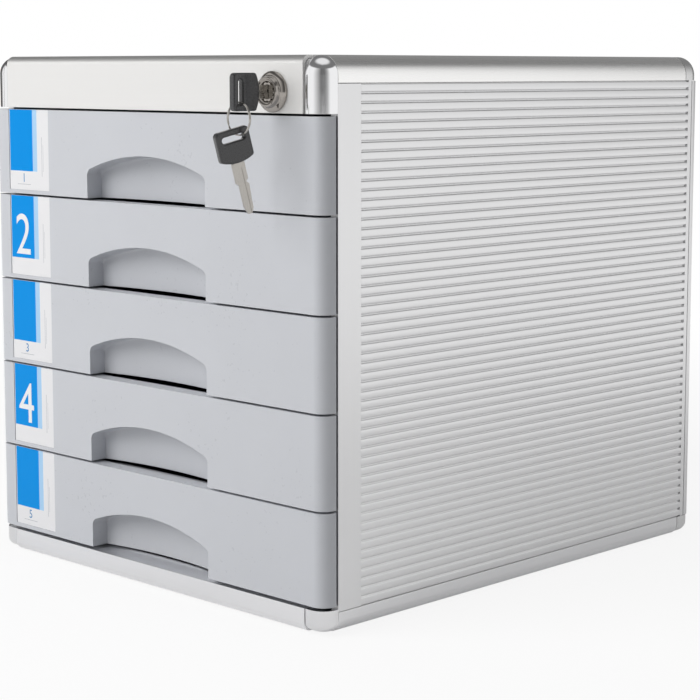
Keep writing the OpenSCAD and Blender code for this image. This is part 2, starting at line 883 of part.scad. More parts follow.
// ---------- what each node draws ----------

base_pan();
base_front();
base_rail(-1);  // base_rail_left
base_rail(1);  // base_rail_right
base_rail_back();
feet();
side_panel(-1);  // side_panel_left
side_panel(1);  // side_panel_right
front_post(-1);  // front_post_left
front_post(1);  // front_post_right
back_post(-1);  // back_post_left
back_post(1);  // back_post_right
top_rail(-1);  // top_rail_left
top_rail(1);  // top_rail_right
top_rail_back();
header();
top_panel();
back_panel();
cap_top(-1);  // cap_top_left
cap_top(1);  // cap_top_right
cap_base(-1);  // cap_base_left
cap_base(1);  // cap_base_right
back_caps();
guide(-1);  // guide_left
guide(1);  // guide_right
lock_barrel();
lock_nut();
back_screws();
guide_screws();
lock_plug();
lock_cam();
cam_screw();
lock_bar();
as_key_1() key_head();  // key_1_head
as_key_1() key_blade();  // key_1_blade
key_ring();
as_key_2() key_head();  // key_2_head
as_key_2() key_blade();  // key_2_blade
for (n = [1:DRAWERS]) {
  drawer_front(n);
  drawer_tray(n);
  label_card(n);
  drawer_screws(n);
}
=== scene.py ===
"""Looks of the desktop file cabinet: aluminium profiles, chromed caps, plastic drawers, lock and keys."""

import logging
import math
from dataclasses import dataclass, field
from enum import Enum
from itertools import product
from typing import Any, ClassVar, Iterable, Sequence, Union

import bmesh
import bpy
from mathutils import Euler, Matrix, Vector


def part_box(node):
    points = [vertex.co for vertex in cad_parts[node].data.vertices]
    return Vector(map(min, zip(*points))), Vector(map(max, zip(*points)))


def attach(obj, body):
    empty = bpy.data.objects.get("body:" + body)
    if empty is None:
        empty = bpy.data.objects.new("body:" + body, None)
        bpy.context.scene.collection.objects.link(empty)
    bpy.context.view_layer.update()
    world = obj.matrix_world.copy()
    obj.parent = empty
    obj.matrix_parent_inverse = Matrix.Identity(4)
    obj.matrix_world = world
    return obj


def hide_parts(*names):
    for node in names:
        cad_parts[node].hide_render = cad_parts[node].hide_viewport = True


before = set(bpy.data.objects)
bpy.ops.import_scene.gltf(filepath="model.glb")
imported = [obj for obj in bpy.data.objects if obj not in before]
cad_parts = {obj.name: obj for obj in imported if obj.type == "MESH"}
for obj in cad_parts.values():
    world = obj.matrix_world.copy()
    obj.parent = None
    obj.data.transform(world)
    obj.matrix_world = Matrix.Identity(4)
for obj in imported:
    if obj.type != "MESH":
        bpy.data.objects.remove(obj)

LOG = logging.getLogger("cabinet")
MM = 0.001
DOUBLE = 1e-4  # Points of a shape closer than this, in millimetres, are one point.
BEYOND = 1.0  # How far a shape that cuts or joins reaches past the face it meets, in millimetres.
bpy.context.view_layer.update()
DRAWERS = range(1, 6)

Point = tuple[float, float]
Place = tuple[float, float, float]
Colour = tuple[float, float, float]
Number = Union[float, "Value"]


class Axis(Enum):
    """The way an outline is drawn out, or a grain runs."""

    X = 0
    Y = 1
    Z = 2


class Side(Enum):
    """Left or right of the cabinet, as the sign of X."""

    LEFT = -1
    RIGHT = 1

    @property
    def word(self) -> str:
        """The side's name as it stands in the names of nodes and pieces."""
        return self.name.lower()


class Carving(Enum):
    """What a boolean does with its second solid."""

    CUT = "DIFFERENCE"
    JOIN = "UNION"


@dataclass(frozen=True)
class Span:
    """A CAD node's box in millimetres."""

    low: Vector
    high: Vector

    @classmethod
    def of(cls, node: str) -> "Span":
        """The box of one node."""
        low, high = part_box(node)
        return cls(low / MM, high / MM)

    @property
    def size(self) -> Vector:
        """Its lengths along X, Y and Z."""
        return self.high - self.low

    @property
    def middle(self) -> Vector:
        """Its centre."""
        return (self.low + self.high) / 2


# ---------------------------------------------------------------- node trees


class Value:
    """A number socket of a node tree. Operators on it add Math nodes."""

    def __init__(self, tree: "Nodes", socket: bpy.types.NodeSocket) -> None:
        """Wraps a socket of a tree."""
        self.tree = tree
        self.socket = socket

    def __add__(self, other: Number) -> "Value":
        """self + other."""
        return self.tree.math("ADD", self, other)

    def __sub__(self, other: Number) -> "Value":
        """self - other."""
        return self.tree.math("SUBTRACT", self, other)

    def __mul__(self, other: Number) -> "Value":
        """self * other."""
        return self.tree.math("MULTIPLY", self, other)

    def __truediv__(self, other: Number) -> "Value":
        """self / other."""
        return self.tree.math("DIVIDE", self, other)

    def __pow__(self, other: Number) -> "Value":
        """self ** other."""
        return self.tree.math("POWER", self, other)

    def __gt__(self, other: Number) -> "Value":
        """1 where self is above other."""
        return self.tree.math("GREATER_THAN", self, other)

    def __lt__(self, other: Number) -> "Value":
        """1 where self is below other."""
        return self.tree.math("LESS_THAN", self, other)

    def __rsub__(self, other: float) -> "Value":
        """other - self."""
        return self.tree.math("SUBTRACT", other, self)

    def __rtruediv__(self, other: float) -> "Value":
        """other / self."""
        return self.tree.math("DIVIDE", other, self)

    def __neg__(self) -> "Value":
        """-self."""
        return self.tree.math("MULTIPLY", self, -1.0)

    def __abs__(self) -> "Value":
        """Its amount without the sign."""
        return self.tree.math("ABSOLUTE", self)

    __radd__ = __add__
    __rmul__ = __mul__

    def between(self, low: float, high: float) -> "Value":
        """1 where the value lies between two numbers."""
        return (self > low) * (self < high)

    def ramp(self, low: Number, high: Number) -> "Value":
        """Rises smoothly.

        Args:
            low: Where it is 0.
            high: Where it is 1.

        Returns:
            The value.
        """
        node = self.tree.node(
            "ShaderNodeMapRange",
            {"interpolation_type": "SMOOTHSTEP"},
            {"Value": self, "From Min": low, "From Max": high},
        )
        return Value(self.tree, node.outputs["Result"])


class Nodes:
    """A shader, world or geometry tree while it is being built."""

    def __init__(self, tree: bpy.types.NodeTree) -> None:
        """Empties the tree and keeps it."""
        self.tree = tree
        tree.nodes.clear()

    def node(
        self,
        kind: str,
        settings: dict[str, Any] | None = None,
        inputs: dict[str | int, Any] | None = None,
    ) -> bpy.types.Node:
        """Adds a node.

        Args:
            kind: The node's type.
            settings: Its properties, set first. "stops" fills a colour ramp.
            inputs: Values or links of its sockets, by identifier, name or number.

        Returns:
            The new node.
        """
        node = self.tree.nodes.new(kind)
        for key, value in (settings or {}).items():
            if key == "stops":
                self._fill_ramp(node, value)
            else:
                setattr(node, key, value)
        for key, value in (inputs or {}).items():
            self._feed(self._input(node, key), value)
        return node

    @staticmethod
    def _fill_ramp(node: bpy.types.Node, stops: Sequence[tuple[float, Colour]]) -> None:
        """Gives a colour ramp its stops.

        Args:
            node: The ramp, which has two stops when it is new.
            stops: Places from 0 to 1 with their colours.
        """
        elements = node.color_ramp.elements
        first, *middle, last = stops
        for element, (position, colour) in zip(elements, (first, last)):
            element.position = position
            element.color = (*colour, 1.0)
        for position, colour in middle:
            elements.new(position).color = (*colour, 1.0)

    @staticmethod
    def _input(node: bpy.types.Node, key: str | int) -> bpy.types.NodeSocket:
        """Finds an input.

        Args:
            node: The node.
            key: The input's number, identifier or name.

        Returns:
            The socket.
        """
        if isinstance(key, str):
            for socket in node.inputs:
                if socket.identifier == key:
                    return socket
        return node.inputs[key]

    def _feed(self, socket: bpy.types.NodeSocket, value: Any) -> None:
        """Links or sets one input.

        Args:
            socket: The input.
            value: A wrapped or plain socket to link, or the value to set.
        """
        source = value.socket if isinstance(value, Value) else value
        if isinstance(source, bpy.types.NodeSocket):
            self.tree.links.new(source, socket)
        else:
            socket.default_value = source

    def math(self, operation: str, *operands: Number) -> Value:
        """Adds a Math node on its operands."""
        node = self.node("ShaderNodeMath", {"operation": operation}, dict(enumerate(operands)))
        return Value(self, node.outputs[0])

    def blend(self, factor: Number, start: Any, end: Any) -> bpy.types.NodeSocket:
        """Mixes two colours.

        Args:
            factor: 0 for the first colour, 1 for the second.
            start: The first colour, a socket or three numbers.
            end: The second colour.

        Returns:
            The mixed colour.
        """
        start, end = ((*c, 1.0) if isinstance(c, tuple) else c for c in (start, end))
        node = self.node(
            "ShaderNodeMix",
            {"data_type": "RGBA"},
            {"Factor_Float": factor, "A_Color": start, "B_Color": end},
        )
        return next(s for s in node.outputs if s.identifier == "Result_Color")

    def uneven(self, factor: Value, colour: Colour, dark: float, light: float = 1.0) -> bpy.types.NodeSocket:
        """A colour that wanders between two of its shades.

        Args:
            factor: 0 for the darker shade, 1 for the lighter one.
            colour: The colour.
            dark: Share of the colour in its darker shade.
            light: Share of the colour in its lighter shade.

        Returns:
            The mixed colour.
        """
        shades = (tuple(min(1.0, part * share) for part in colour) for share in (dark, light))
        return self.blend(factor, *shades)

    def split(self, vector: bpy.types.NodeSocket) -> tuple[Value, Value, Value]:
        """The three parts of a vector."""
        x, y, z = (Value(self, s) for s in self.node("ShaderNodeSeparateXYZ", None, {0: vector}).outputs)
        return x, y, z

    def coordinates(self) -> bpy.types.NodeSocket:
        """Object coordinates, in metres of the shared frame."""
        return self.node("ShaderNodeTexCoord").outputs["Object"]

    def place(self) -> tuple[Value, Value, Value]:
        """X, Y and Z in millimetres of the shared frame."""
        x, y, z = self.split(self.coordinates())
        return x / MM, y / MM, z / MM

    def noise(self, lengths: Sequence[float] | float, detail: float = 2.0) -> Value:
        """Noise from 0 to 1 on Object coordinates.

        Args:
            lengths: Length of a grain in millimetres, the same or along X, Y and Z.
            detail: How many finer layers it has.

        Returns:
            The noise.
        """
        if isinstance(lengths, (int, float)):
            lengths = (lengths,) * 3
        scale = tuple(1 / (length * MM) for length in lengths)
        mapping = self.node("ShaderNodeMapping", None, {"Vector": self.coordinates(), "Scale": scale})
        node = self.node(
            "ShaderNodeTexNoise", None, {"Vector": mapping.outputs[0], "Scale": 1.0, "Detail": detail}
        )
        return Value(self, node.outputs["Fac"])

    def bump(self, height: Value, depth: float, strength: float) -> bpy.types.NodeSocket:
        """Bends the normal.

        Args:
            height: Height from 0 to 1.
            depth: Millimetres that a height of 1 stands for.
            strength: Share of the effect.

        Returns:
            The normal.
        """
        inputs = {"Height": height, "Distance": depth * MM, "Strength": strength}
        return self.node("ShaderNodeBump", None, inputs).outputs["Normal"]


def grain(axis: Axis, along: float, across: float) -> Place:
    """Noise lengths that are long on one axis and short on the others."""
    x, y, z = (along if axis.value == a else across for a in range(3))
    return x, y, z


# ---------------------------------------------------------------- finishes


@dataclass(frozen=True)
class Finish:
    """A material that is made once and shared."""

    name: str
    _made: ClassVar[dict[str, bpy.types.Material]] = {}

    def material(self) -> bpy.types.Material:
        """Builds the material at its first use.

        Returns:
            The material.
        """
        if self.name not in self._made:
            material = bpy.data.materials.new(self.name)
            material.use_nodes = True
            nodes = Nodes(material.node_tree)
            shader = nodes.node("ShaderNodeBsdfPrincipled", None, self.surface(nodes))
            nodes.node("ShaderNodeOutputMaterial", None, {"Surface": shader.outputs[0]})
            self._made[self.name] = material
        return self._made[self.name]

    def surface(self, nodes: Nodes) -> dict[str, Any]:
        """The inputs of the Principled shader."""
        raise NotImplementedError


@dataclass(frozen=True)
class SatinAluminium(Finish):
    """Anodised extrusion with streaks along its length. Lengths are in millimetres."""

    tint: Colour
    axis: Axis
    roughness: float = 0.34
    streak: float = 0.05
    haze: float = 0.0
    haze_top: float = 0.0
    haze_fade: float = 1.5
    fine: Point = (60.0, 0.35)
    broad: Point = (220.0, 6.0)
    fine_share: float = 0.6
    wander: float = 0.10

    def metallic(self, nodes: Nodes) -> Number:
        """How metallic it is: less than 1 only where thick anodising lies on it as a milky haze.

        Args:
            nodes: The material's tree.

        Returns:
            A number, or a socket where there is haze.
        """
        if not self.haze:
            return 1.0
        _, _, height = nodes.place()
        return 1.0 - self.haze * (1.0 - height.ramp(self.haze_top, self.haze_top + self.haze_fade))

    def surface(self, nodes: Nodes) -> dict[str, Any]:
        """Fine and broad streaks, and a satin roughness.

        Args:
            nodes: The material's tree.

        Returns:
            The inputs of the Principled shader.
        """
        fine = nodes.noise(grain(self.axis, *self.fine), 3.0)
        broad = nodes.noise(grain(self.axis, *self.broad), 2.0)
        shade = fine * self.fine_share + broad * (1 - self.fine_share)
        return {
            "Base Color": nodes.uneven(shade, self.tint, 1 - self.streak, 1 + self.streak),
            "Metallic": self.metallic(nodes),
            "Roughness": self.roughness + (fine - 0.5) * self.wander,
            "Normal": nodes.bump(fine, 0.02, 0.35),
        }


@dataclass(frozen=True)
class MouldedPlastic(Finish):
    """Moulded plastic with a soft skin texture. Lengths are in millimetres."""

    colour: Colour
    roughness: float = 0.36
    skin: float = 0.9
    skin_depth: float = 0.02
    gloss: float = 0.0
    gloss_roughness: float = 0.12
    cloud: float = 45.0
    wander: float = 0.12
    cloud_wander: float = 0.05

    def surface(self, nodes: Nodes) -> dict[str, Any]:
        """A little cloudiness, and the grain of the mould.

        Args:
            nodes: The material's tree.

        Returns:
            The inputs of the Principled shader.
        """
        cloud = nodes.noise(self.cloud, 3.0)
        skin = nodes.noise(self.skin, 3.0)
        return {
            "Base Color": nodes.uneven(cloud, self.colour, 0.97, 1.03),
            "Roughness": self.roughness + (skin - 0.5) * self.wander + (cloud - 0.5) * self.cloud_wander,
            "Coat Weight": self.gloss,
            "Coat Roughness": self.gloss_roughness,
            "Normal": nodes.bump(skin, self.skin_depth, 0.4),
        }


@dataclass(frozen=True)
class PolishedChrome(Finish):
    """Bright plating over a moulding, with a hint of unevenness."""

    tint: Colour = (0.86, 0.86, 0.87)
    roughness: float = 0.07
    smear: float = 9.0
    wander: float = 0.05

    def surface(self, nodes: Nodes) -> dict[str, Any]:
        """Clean plating with faint smears.

        Args:
            nodes: The material's tree.

        Returns:
            The inputs of the Principled shader.
        """
        smear = nodes.noise(self.smear, 3.0)
        return {
            "Base Color": nodes.uneven(smear, self.tint, 0.98),
            "Metallic": 1.0,
            "Roughness": self.roughness + smear * self.wander,
            "Normal": nodes.bump(smear, 0.02, 0.25),
        }


@dataclass(frozen=True)
class PlatedSteel(Finish):
    """Nickel-plated steel with fine scratches from use. Lengths are in millimetres."""

    tint: Colour = (0.60, 0.575, 0.54)
    axis: Axis = Axis.Z
    roughness: float = 0.26
    scratch: Point = (9.0, 0.16)
    stain: float = 5.0
    wander: float = 0.2

    def surface(self, nodes: Nodes) -> dict[str, Any]:
        """Scratches in colour and roughness, over faint stains.

        Args:
            nodes: The material's tree.

        Returns:
            The inputs of the Principled shader.
        """
        scratch = nodes.noise(grain(self.axis, *self.scratch), 4.0)
        stain = nodes.noise(self.stain, 3.0)
        return {
            "Base Color": nodes.uneven(scratch * 0.5 + stain * 0.5, self.tint, 0.86, 1.08),
            "Metallic": 1.0,
            "Roughness": self.roughness + (scratch - 0.5) * self.wander,
            "Normal": nodes.bump(scratch, 0.015, 0.3),
        }


@dataclass(frozen=True)
class Rubber(Finish):
    """Matt black rubber with a dusty face. Its grain is in millimetres."""

    colour: Colour = (0.03, 0.03, 0.031)
    dust: Colour = (0.10, 0.10, 0.095)
    dust_from: float = 0.45
    dust_to: float = 0.9
    roughness: float = 0.8
    grain: float = 1.2
    wander: float = 0.2

    def surface(self, nodes: Nodes) -> dict[str, Any]:
        """Dust over a dull black.

        Args:
            nodes: The material's tree.

        Returns:
            The inputs of the Principled shader.
        """
        grain_height = nodes.noise(self.grain, 4.0)
        dust = grain_height.ramp(self.dust_from, self.dust_to)
        return {
            "Base Color": nodes.blend(dust, self.colour, self.dust),
            "Roughness": self.roughness + (grain_height - 0.5) * self.wander,
            "Normal": nodes.bump(grain_height, 0.05, 0.5),
        }


@dataclass(frozen=True)
class PrintedCard(Finish):
    """Coated card with a blue field, a pale stripe and ruled lines.

    All places are in millimetres from the card's lower left corner: edges across, then edges up.
    """

    left: float
    bottom: float
    blue_low: float
    footer: bool
    blue: Colour = (0.0, 0.27, 0.74)
    stripe: Colour = (0.40, 0.62, 0.86)
    paper: Colour = (0.79, 0.79, 0.805)
    ink: Colour = (0.30, 0.32, 0.36)
    ink_cover: float = 0.75
    blue_across: Point = (0.5, 24.6)
    stripe_across: Point = (24.6, 29.2)
    rules: tuple[tuple[Point, Point], ...] = (((34.0, 34.35), (9.0, 34.0)), ((35.4, 35.65), (12.0, 29.0)))
    footer_rule: tuple[Point, Point] = ((8.0, 22.0), (3.4, 3.7))
    fibre: float = 0.5
    roughness: float = 0.42
    wander: float = 0.1

    def surface(self, nodes: Nodes) -> dict[str, Any]:
        """The printed fields, with paper fibre below them.

        Args:
            nodes: The material's tree.

        Returns:
            The inputs of the Principled shader.
        """
        x, _, z = nodes.place()
        across, up = x - self.left, z - self.bottom
        fibre = nodes.noise(self.fibre, 4.0)
        raised = up > self.blue_low
        rules = (*self.rules, self.footer_rule) if self.footer else self.rules
        lines = sum((across.between(*wide) * up.between(*high) for wide, high in rules), 0.0)
        colour = nodes.uneven(fibre, self.paper, 0.97)
        for share, print_colour in (
            (raised * across.between(*self.stripe_across), self.stripe),
            (raised * across.between(*self.blue_across), self.blue),
            (lines * self.ink_cover, self.ink),
        ):
            colour = nodes.blend(share, colour, print_colour)
        return {
            "Base Color": colour,
            "Roughness": self.roughness + (fibre - 0.5) * self.wander,
            "Specular IOR Level": 0.1,
            "Normal": nodes.bump(fibre, 0.01, 0.2),
        }


@dataclass(frozen=True)
class PrintInk(Finish):
    """Flat printing ink with a slightly uneven cover. Its grain is in millimetres."""

    colour: Colour
    grain: float = 0.6
    roughness: float = 0.45
    wander: float = 0.1

    def surface(self, nodes: Nodes) -> dict[str, Any]:
        """Ink that lets a little paper show.

        Args:
            nodes: The material's tree.

        Returns:
            The inputs of the Principled shader.
        """
        cover = nodes.noise(self.grain, 3.0)
        worn = tuple(min(1.0, part * 0.96 + 0.03) for part in self.colour)
        return {
            "Base Color": nodes.blend(cover, self.colour, worn),
            "Roughness": self.roughness + (cover - 0.5) * self.wander,
        }


PROFILE_ALONG_X = SatinAluminium("satin_profile_across", (0.80, 0.795, 0.785), Axis.X, 0.50, 0.02, 0.65, 320.8)
PROFILE_ALONG_Y = SatinAluminium("satin_profile_deep", (0.96, 0.955, 0.945), Axis.Y, 0.28, 0.02)
BASE_ALONG_X = SatinAluminium("satin_base_across", (0.92, 0.92, 0.93), Axis.X, 0.40, 0.03)
# Same aluminium as the base front, tinted darker: painted shade for the floor's shadow that the side base
# rails mirror.
BASE_ALONG_Y_SHADED = SatinAluminium("satin_base_deep", (0.86, 0.86, 0.87), Axis.Y, 0.34, 0.03)
POST_UPRIGHT = SatinAluminium("satin_post", (0.80, 0.80, 0.805), Axis.Z, 0.34, 0.025)
PANEL_SKIN = SatinAluminium("satin_panel", (0.80, 0.80, 0.805), Axis.Y, 0.30, 0.03)
SHEET = SatinAluminium("satin_sheet", (0.78, 0.78, 0.785), Axis.X, 0.42, 0.05)
SILVER_CAP = SatinAluminium("silver_lacquered_caps", (0.80, 0.80, 0.80), Axis.Z, 0.22, 0.01)
CHROME = PolishedChrome("chrome_caps")
DARK_CHROME = PolishedChrome("chrome_lock", (0.36, 0.335, 0.31), 0.10)
RING_NICKEL = PolishedChrome("nickel_ring", (0.50, 0.48, 0.45), 0.12)
FRONT_PLASTIC = MouldedPlastic("front_plastic", (0.555, 0.57, 0.605), 0.30, 2.4, 0.012, 0.15)
TRAY_PLASTIC = MouldedPlastic("tray_plastic", (0.50, 0.53, 0.58), 0.48, 0.8, 0.03)
GUIDE_PLASTIC = MouldedPlastic("guide_plastic", (0.26, 0.27, 0.29), 0.50, 0.8, 0.03)
KEY_PLASTIC = MouldedPlastic("key_plastic", (0.018, 0.018, 0.020), 0.28, 0.5, 0.02, 0.6)
STEEL_UPRIGHT = PlatedSteel("nickel_upright")
STEEL_DEEP = PlatedSteel("nickel_deep", (0.64, 0.615, 0.57), Axis.Y, 0.24)
# The spare key's blade is the same plated steel as the first key's, tinted darker: painted shade for the dim
# room it mirrors.
BLADE_STEEL_SHADED = PlatedSteel("nickel_blade", (0.46, 0.44, 0.41), Axis.Z, 0.30)
RUBBER = Rubber("foot_rubber")
INK_WHITE = PrintInk("ink_white", (0.82, 0.82, 0.83))
INK_BLUE = PrintInk("ink_blue", (0.01, 0.20, 0.46))


# ---------------------------------------------------------------- meshes


def arc(centre: Point, radius: float, start: float, end: float, steps: int) -> list[Point]:
    """Points on an arc.

    Args:
        centre: Its centre.
        radius: Its radius.
        start: First angle in degrees.
        end: Last angle in degrees.
        steps: Number of stretches.

    Returns:
        The points, ends included.
    """
    turns = [math.radians(start + (end - start) * i / steps) for i in range(steps + 1)]
    return [(centre[0] + radius * math.cos(t), centre[1] + radius * math.sin(t)) for t in turns]


def rounded_corner(low: Point, high: Point, radius: float, steps: int = 10) -> list[Point]:
    """A rectangle whose high corner is rounded."""
    bend = arc((high[0] - radius, high[1] - radius), radius, 0, 90, steps)
    return [low, (high[0], low[1]), *bend, (low[0], high[1])]


class Shape:
    """A mesh in the making, in millimetres."""

    def __init__(self) -> None:
        """Starts empty."""
        self.mesh = bmesh.new()

    def ring(self, points: Iterable[Sequence[float]]) -> list[bmesh.types.BMVert]:
        """Adds a row of points."""
        return [self.mesh.verts.new(Vector(p)) for p in points]

    def skin(self, rings: Sequence[list[bmesh.types.BMVert]]) -> None:
        """Covers the space between each closed ring and the next with quads.

        Args:
            rings: The rings, with as many points each.
        """
        for first, second in zip(rings, rings[1:]):
            for i in range(len(first)):
                j = (i + 1) % len(first)
                self.mesh.faces.new((first[i], first[j], second[j], second[i]))

    def face(self, ring: Sequence[bmesh.types.BMVert]) -> None:
        """Closes a ring with one face."""
        self.mesh.faces.new(ring)

    def moved(self, matrix: Matrix) -> "Shape":
        """Moves or mirrors what is there."""
        self.mesh.transform(matrix)
        return self

    def piece(self, name: str) -> bpy.types.Object:
        """Closes the work.

        Args:
            name: Name of the new object.

        Returns:
            An object in metres at the origin, with its faces pointing out.
        """
        bmesh.ops.remove_doubles(self.mesh, verts=self.mesh.verts, dist=DOUBLE)
        bmesh.ops.recalc_face_normals(self.mesh, faces=self.mesh.faces)
        self.mesh.transform(Matrix.Scale(MM, 4))
        data = bpy.data.meshes.new(name)
        self.mesh.to_mesh(data)
        self.mesh.free()
        return stand(name, data)


def stand(name: str, data: bpy.types.ID) -> bpy.types.Object:
    """Puts something in the scene.

    Args:
        name: Name of the object.
        data: Its mesh, curve, light or camera.

    Returns:
        The object, at the origin.
    """
    thing = bpy.data.objects.new(name, data)
    bpy.context.scene.collection.objects.link(thing)
    return thing


def on_axis(axis: Axis, along: float, point: Point) -> Place:
    """Places an outline's point on a plane across an axis: Y and Z, X and Z, or X and Y."""
    u, v = point
    return {Axis.X: (along, u, v), Axis.Y: (u, along, v), Axis.Z: (u, v, along)}[axis]


def prism(outline: Sequence[Point], axis: Axis, start: float, end: float) -> Shape:
    """Draws a closed outline out.

    Args:
        outline: Its points.
        axis: The way it is drawn out.
        start: Where it starts.
        end: Where it ends.

    Returns:
        The closed shape.
    """
    shape = Shape()
    rings = [shape.ring(on_axis(axis, at, p) for p in outline) for at in (start, end)]
    shape.skin(rings)
    for ring in rings:
        shape.face(ring)
    return shape


def tube(outer: Sequence[Point], inner: Sequence[Point], axis: Axis, start: float, end: float) -> Shape:
    """Draws a hollow profile out.

    Args:
        outer: Its outer outline.
        inner: Its inner outline, with as many points.
        axis: The way it is drawn out.
        start: Where it starts.
        end: Where it ends.

    Returns:
        The closed shape, open only through its bore.
    """
    shape = Shape()
    turns = ((start, inner), (start, outer), (end, outer), (end, inner))
    rings = [shape.ring(on_axis(axis, at, p) for p in outline) for at, outline in turns]
    shape.skin([*rings, rings[0]])
    return shape


def block(low: Sequence[float], high: Sequence[float]) -> Shape:
    """A box between two corners."""
    outline = [(low[0], low[1]), (high[0], low[1]), (high[0], high[1]), (low[0], high[1])]
    return prism(outline, Axis.Z, low[2], high[2])


def lathe(profile: Sequence[Point], steps: int) -> Shape:
    """Turns a closed profile about Z.

    Args:
        profile: Radius and height of its points. Points on the axis become poles.
        steps: Faces round it.

    Returns:
        The closed shape.
    """
    shape = Shape()
    turns = [math.tau * i / steps for i in range(steps)]
    rings = [shape.ring((r * math.cos(t), r * math.sin(t), z) for t in turns) for r, z in profile]
    shape.skin([*rings, rings[0]])
    bmesh.ops.remove_doubles(shape.mesh, verts=shape.mesh.verts, dist=DOUBLE)
    return shape


def evaluated(piece: bpy.types.Object) -> bpy.types.Mesh:
    """The mesh of a piece with its modifiers, or of a text."""
    graph = bpy.context.evaluated_depsgraph_get()
    return bpy.data.meshes.new_from_object(piece.evaluated_get(graph), depsgraph=graph)


def freeze(piece: bpy.types.Object) -> bpy.types.Object:
    """Turns a piece with its modifiers into a plain mesh.

    Args:
        piece: The piece.

    Returns:
        The same piece.
    """
    data = evaluated(piece)
    piece.modifiers.clear()
    piece.data = data
    return piece


def carve(piece: bpy.types.Object, tool: Shape, carving: Carving = Carving.CUT) -> bpy.types.Object:
    """Cuts a shape out of a piece, or joins it on.

    Args:
        piece: The piece.
        tool: The shape, which is used up.
        carving: Whether it is cut out or joined on.

    Returns:
        The same piece.
    """
    other = tool.piece(piece.name + "_tool")
    boolean = piece.modifiers.new("carving", "BOOLEAN")
    boolean.operation = carving.value
    boolean.solver = "EXACT"
    boolean.object = other
    freeze(piece)
    bpy.data.objects.remove(other)
    return piece


def ease(piece: bpy.types.Object, width: float, segments: int = 2, angle: float = 32.0) -> bpy.types.Object:
    """Rounds the sharp edges of a piece.

    Args:
        piece: The piece.
        width: Width of the rounding in millimetres.
        segments: Faces across a rounding.
        angle: Only edges sharper than this many degrees are rounded.

    Returns:
        The same piece.
    """
    bevel = piece.modifiers.new("easing", "BEVEL")
    bevel.width = width * MM
    bevel.segments = segments
    bevel.limit_method = "ANGLE"
    bevel.angle_limit = math.radians(angle)
    bevel.miter_outer = "MITER_ARC"
    return freeze(piece)


def smooth(piece: bpy.types.Object, angle: float = 50.0) -> bpy.types.Object:
    """Shades a piece smooth, but keeps its flat faces flat.

    Args:
        piece: The piece.
        angle: Edges over this many degrees stay sharp.

    Returns:
        The same piece.
    """
    shape = bmesh.new()
    shape.from_mesh(piece.data)
    for edge in shape.edges:
        edge.smooth = len(edge.link_faces) != 2 or edge.calc_face_angle(0.0) < math.radians(angle)
    for face in shape.faces:
        face.smooth = True
    shape.to_mesh(piece.data)
    shape.free()
    weighted = piece.modifiers.new("weighted", "WEIGHTED_NORMAL")
    weighted.keep_sharp = True
    weighted.weight = 100
    return freeze(piece)


def merged_cad(node: str) -> bmesh.types.BMesh:
    """Reads a CAD node's mesh.

    Args:
        node: The node.

    Returns:
        The mesh in metres, with its loose triangles merged.
    """
    shape = bmesh.new()
    shape.from_mesh(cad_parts[node].data)
    bmesh.ops.remove_doubles(shape, verts=shape.verts, dist=1e-6)
    return shape


def cad_copy(node: str, name: str) -> bpy.types.Object:
    """Copies a CAD node's shape.

    Args:
        node: The node.
        name: Name of the copy.

    Returns:
        The copy, with its triangles joined to flat faces.
    """
    shape = merged_cad(node)
    flat = math.radians(0.5)
    bmesh.ops.dissolve_limit(
        shape, angle_limit=flat, verts=shape.verts, edges=shape.edges, use_dissolve_boundaries=False
    )
    data = bpy.data.meshes.new(name)
    shape.to_mesh(data)
    shape.free()
    return stand(name, data)


def eased_copy(node: str, name: str, width: float, angle: float = 50.0) -> bpy.types.Object:
    """A copy of a CAD node with its edges rounded, shaded smooth up to an angle."""
    return smooth(ease(cad_copy(node, name), width), angle)


def joined(pieces: Sequence[bpy.types.Object]) -> bpy.types.Object:
    """Puts the meshes of some pieces together.

    Args:
        pieces: The pieces. All but the first are deleted.

    Returns:
        The first piece.
    """
    first, *others = pieces
    shape = bmesh.new()
    for piece in pieces:
        shape.from_mesh(piece.data)
    shape.to_mesh(first.data)
    shape.free()
    for piece in others:
        bpy.data.objects.remove(piece)
    return first


def deliver(piece: bpy.types.Object, finish: Finish, body: str, slot: str, *nodes: str) -> None:
    """Hands a finished piece over.

    Args:
        piece: The piece, a plain mesh at the origin.
        finish: What it is finished in.
        body: The CAD body that it rides on.
        slot: The record's material slot. Not used.
        *nodes: The CAD nodes that it stands for.
    """
    piece.data.materials.clear()
    piece.data.materials.append(finish.material())
    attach(piece, body)
    if nodes:
        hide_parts(*nodes)
    LOG.info("%s rides on %s, %d faces", piece.name, body, len(piece.data.polygons))


# ---------------------------------------------------------------- geometry nodes


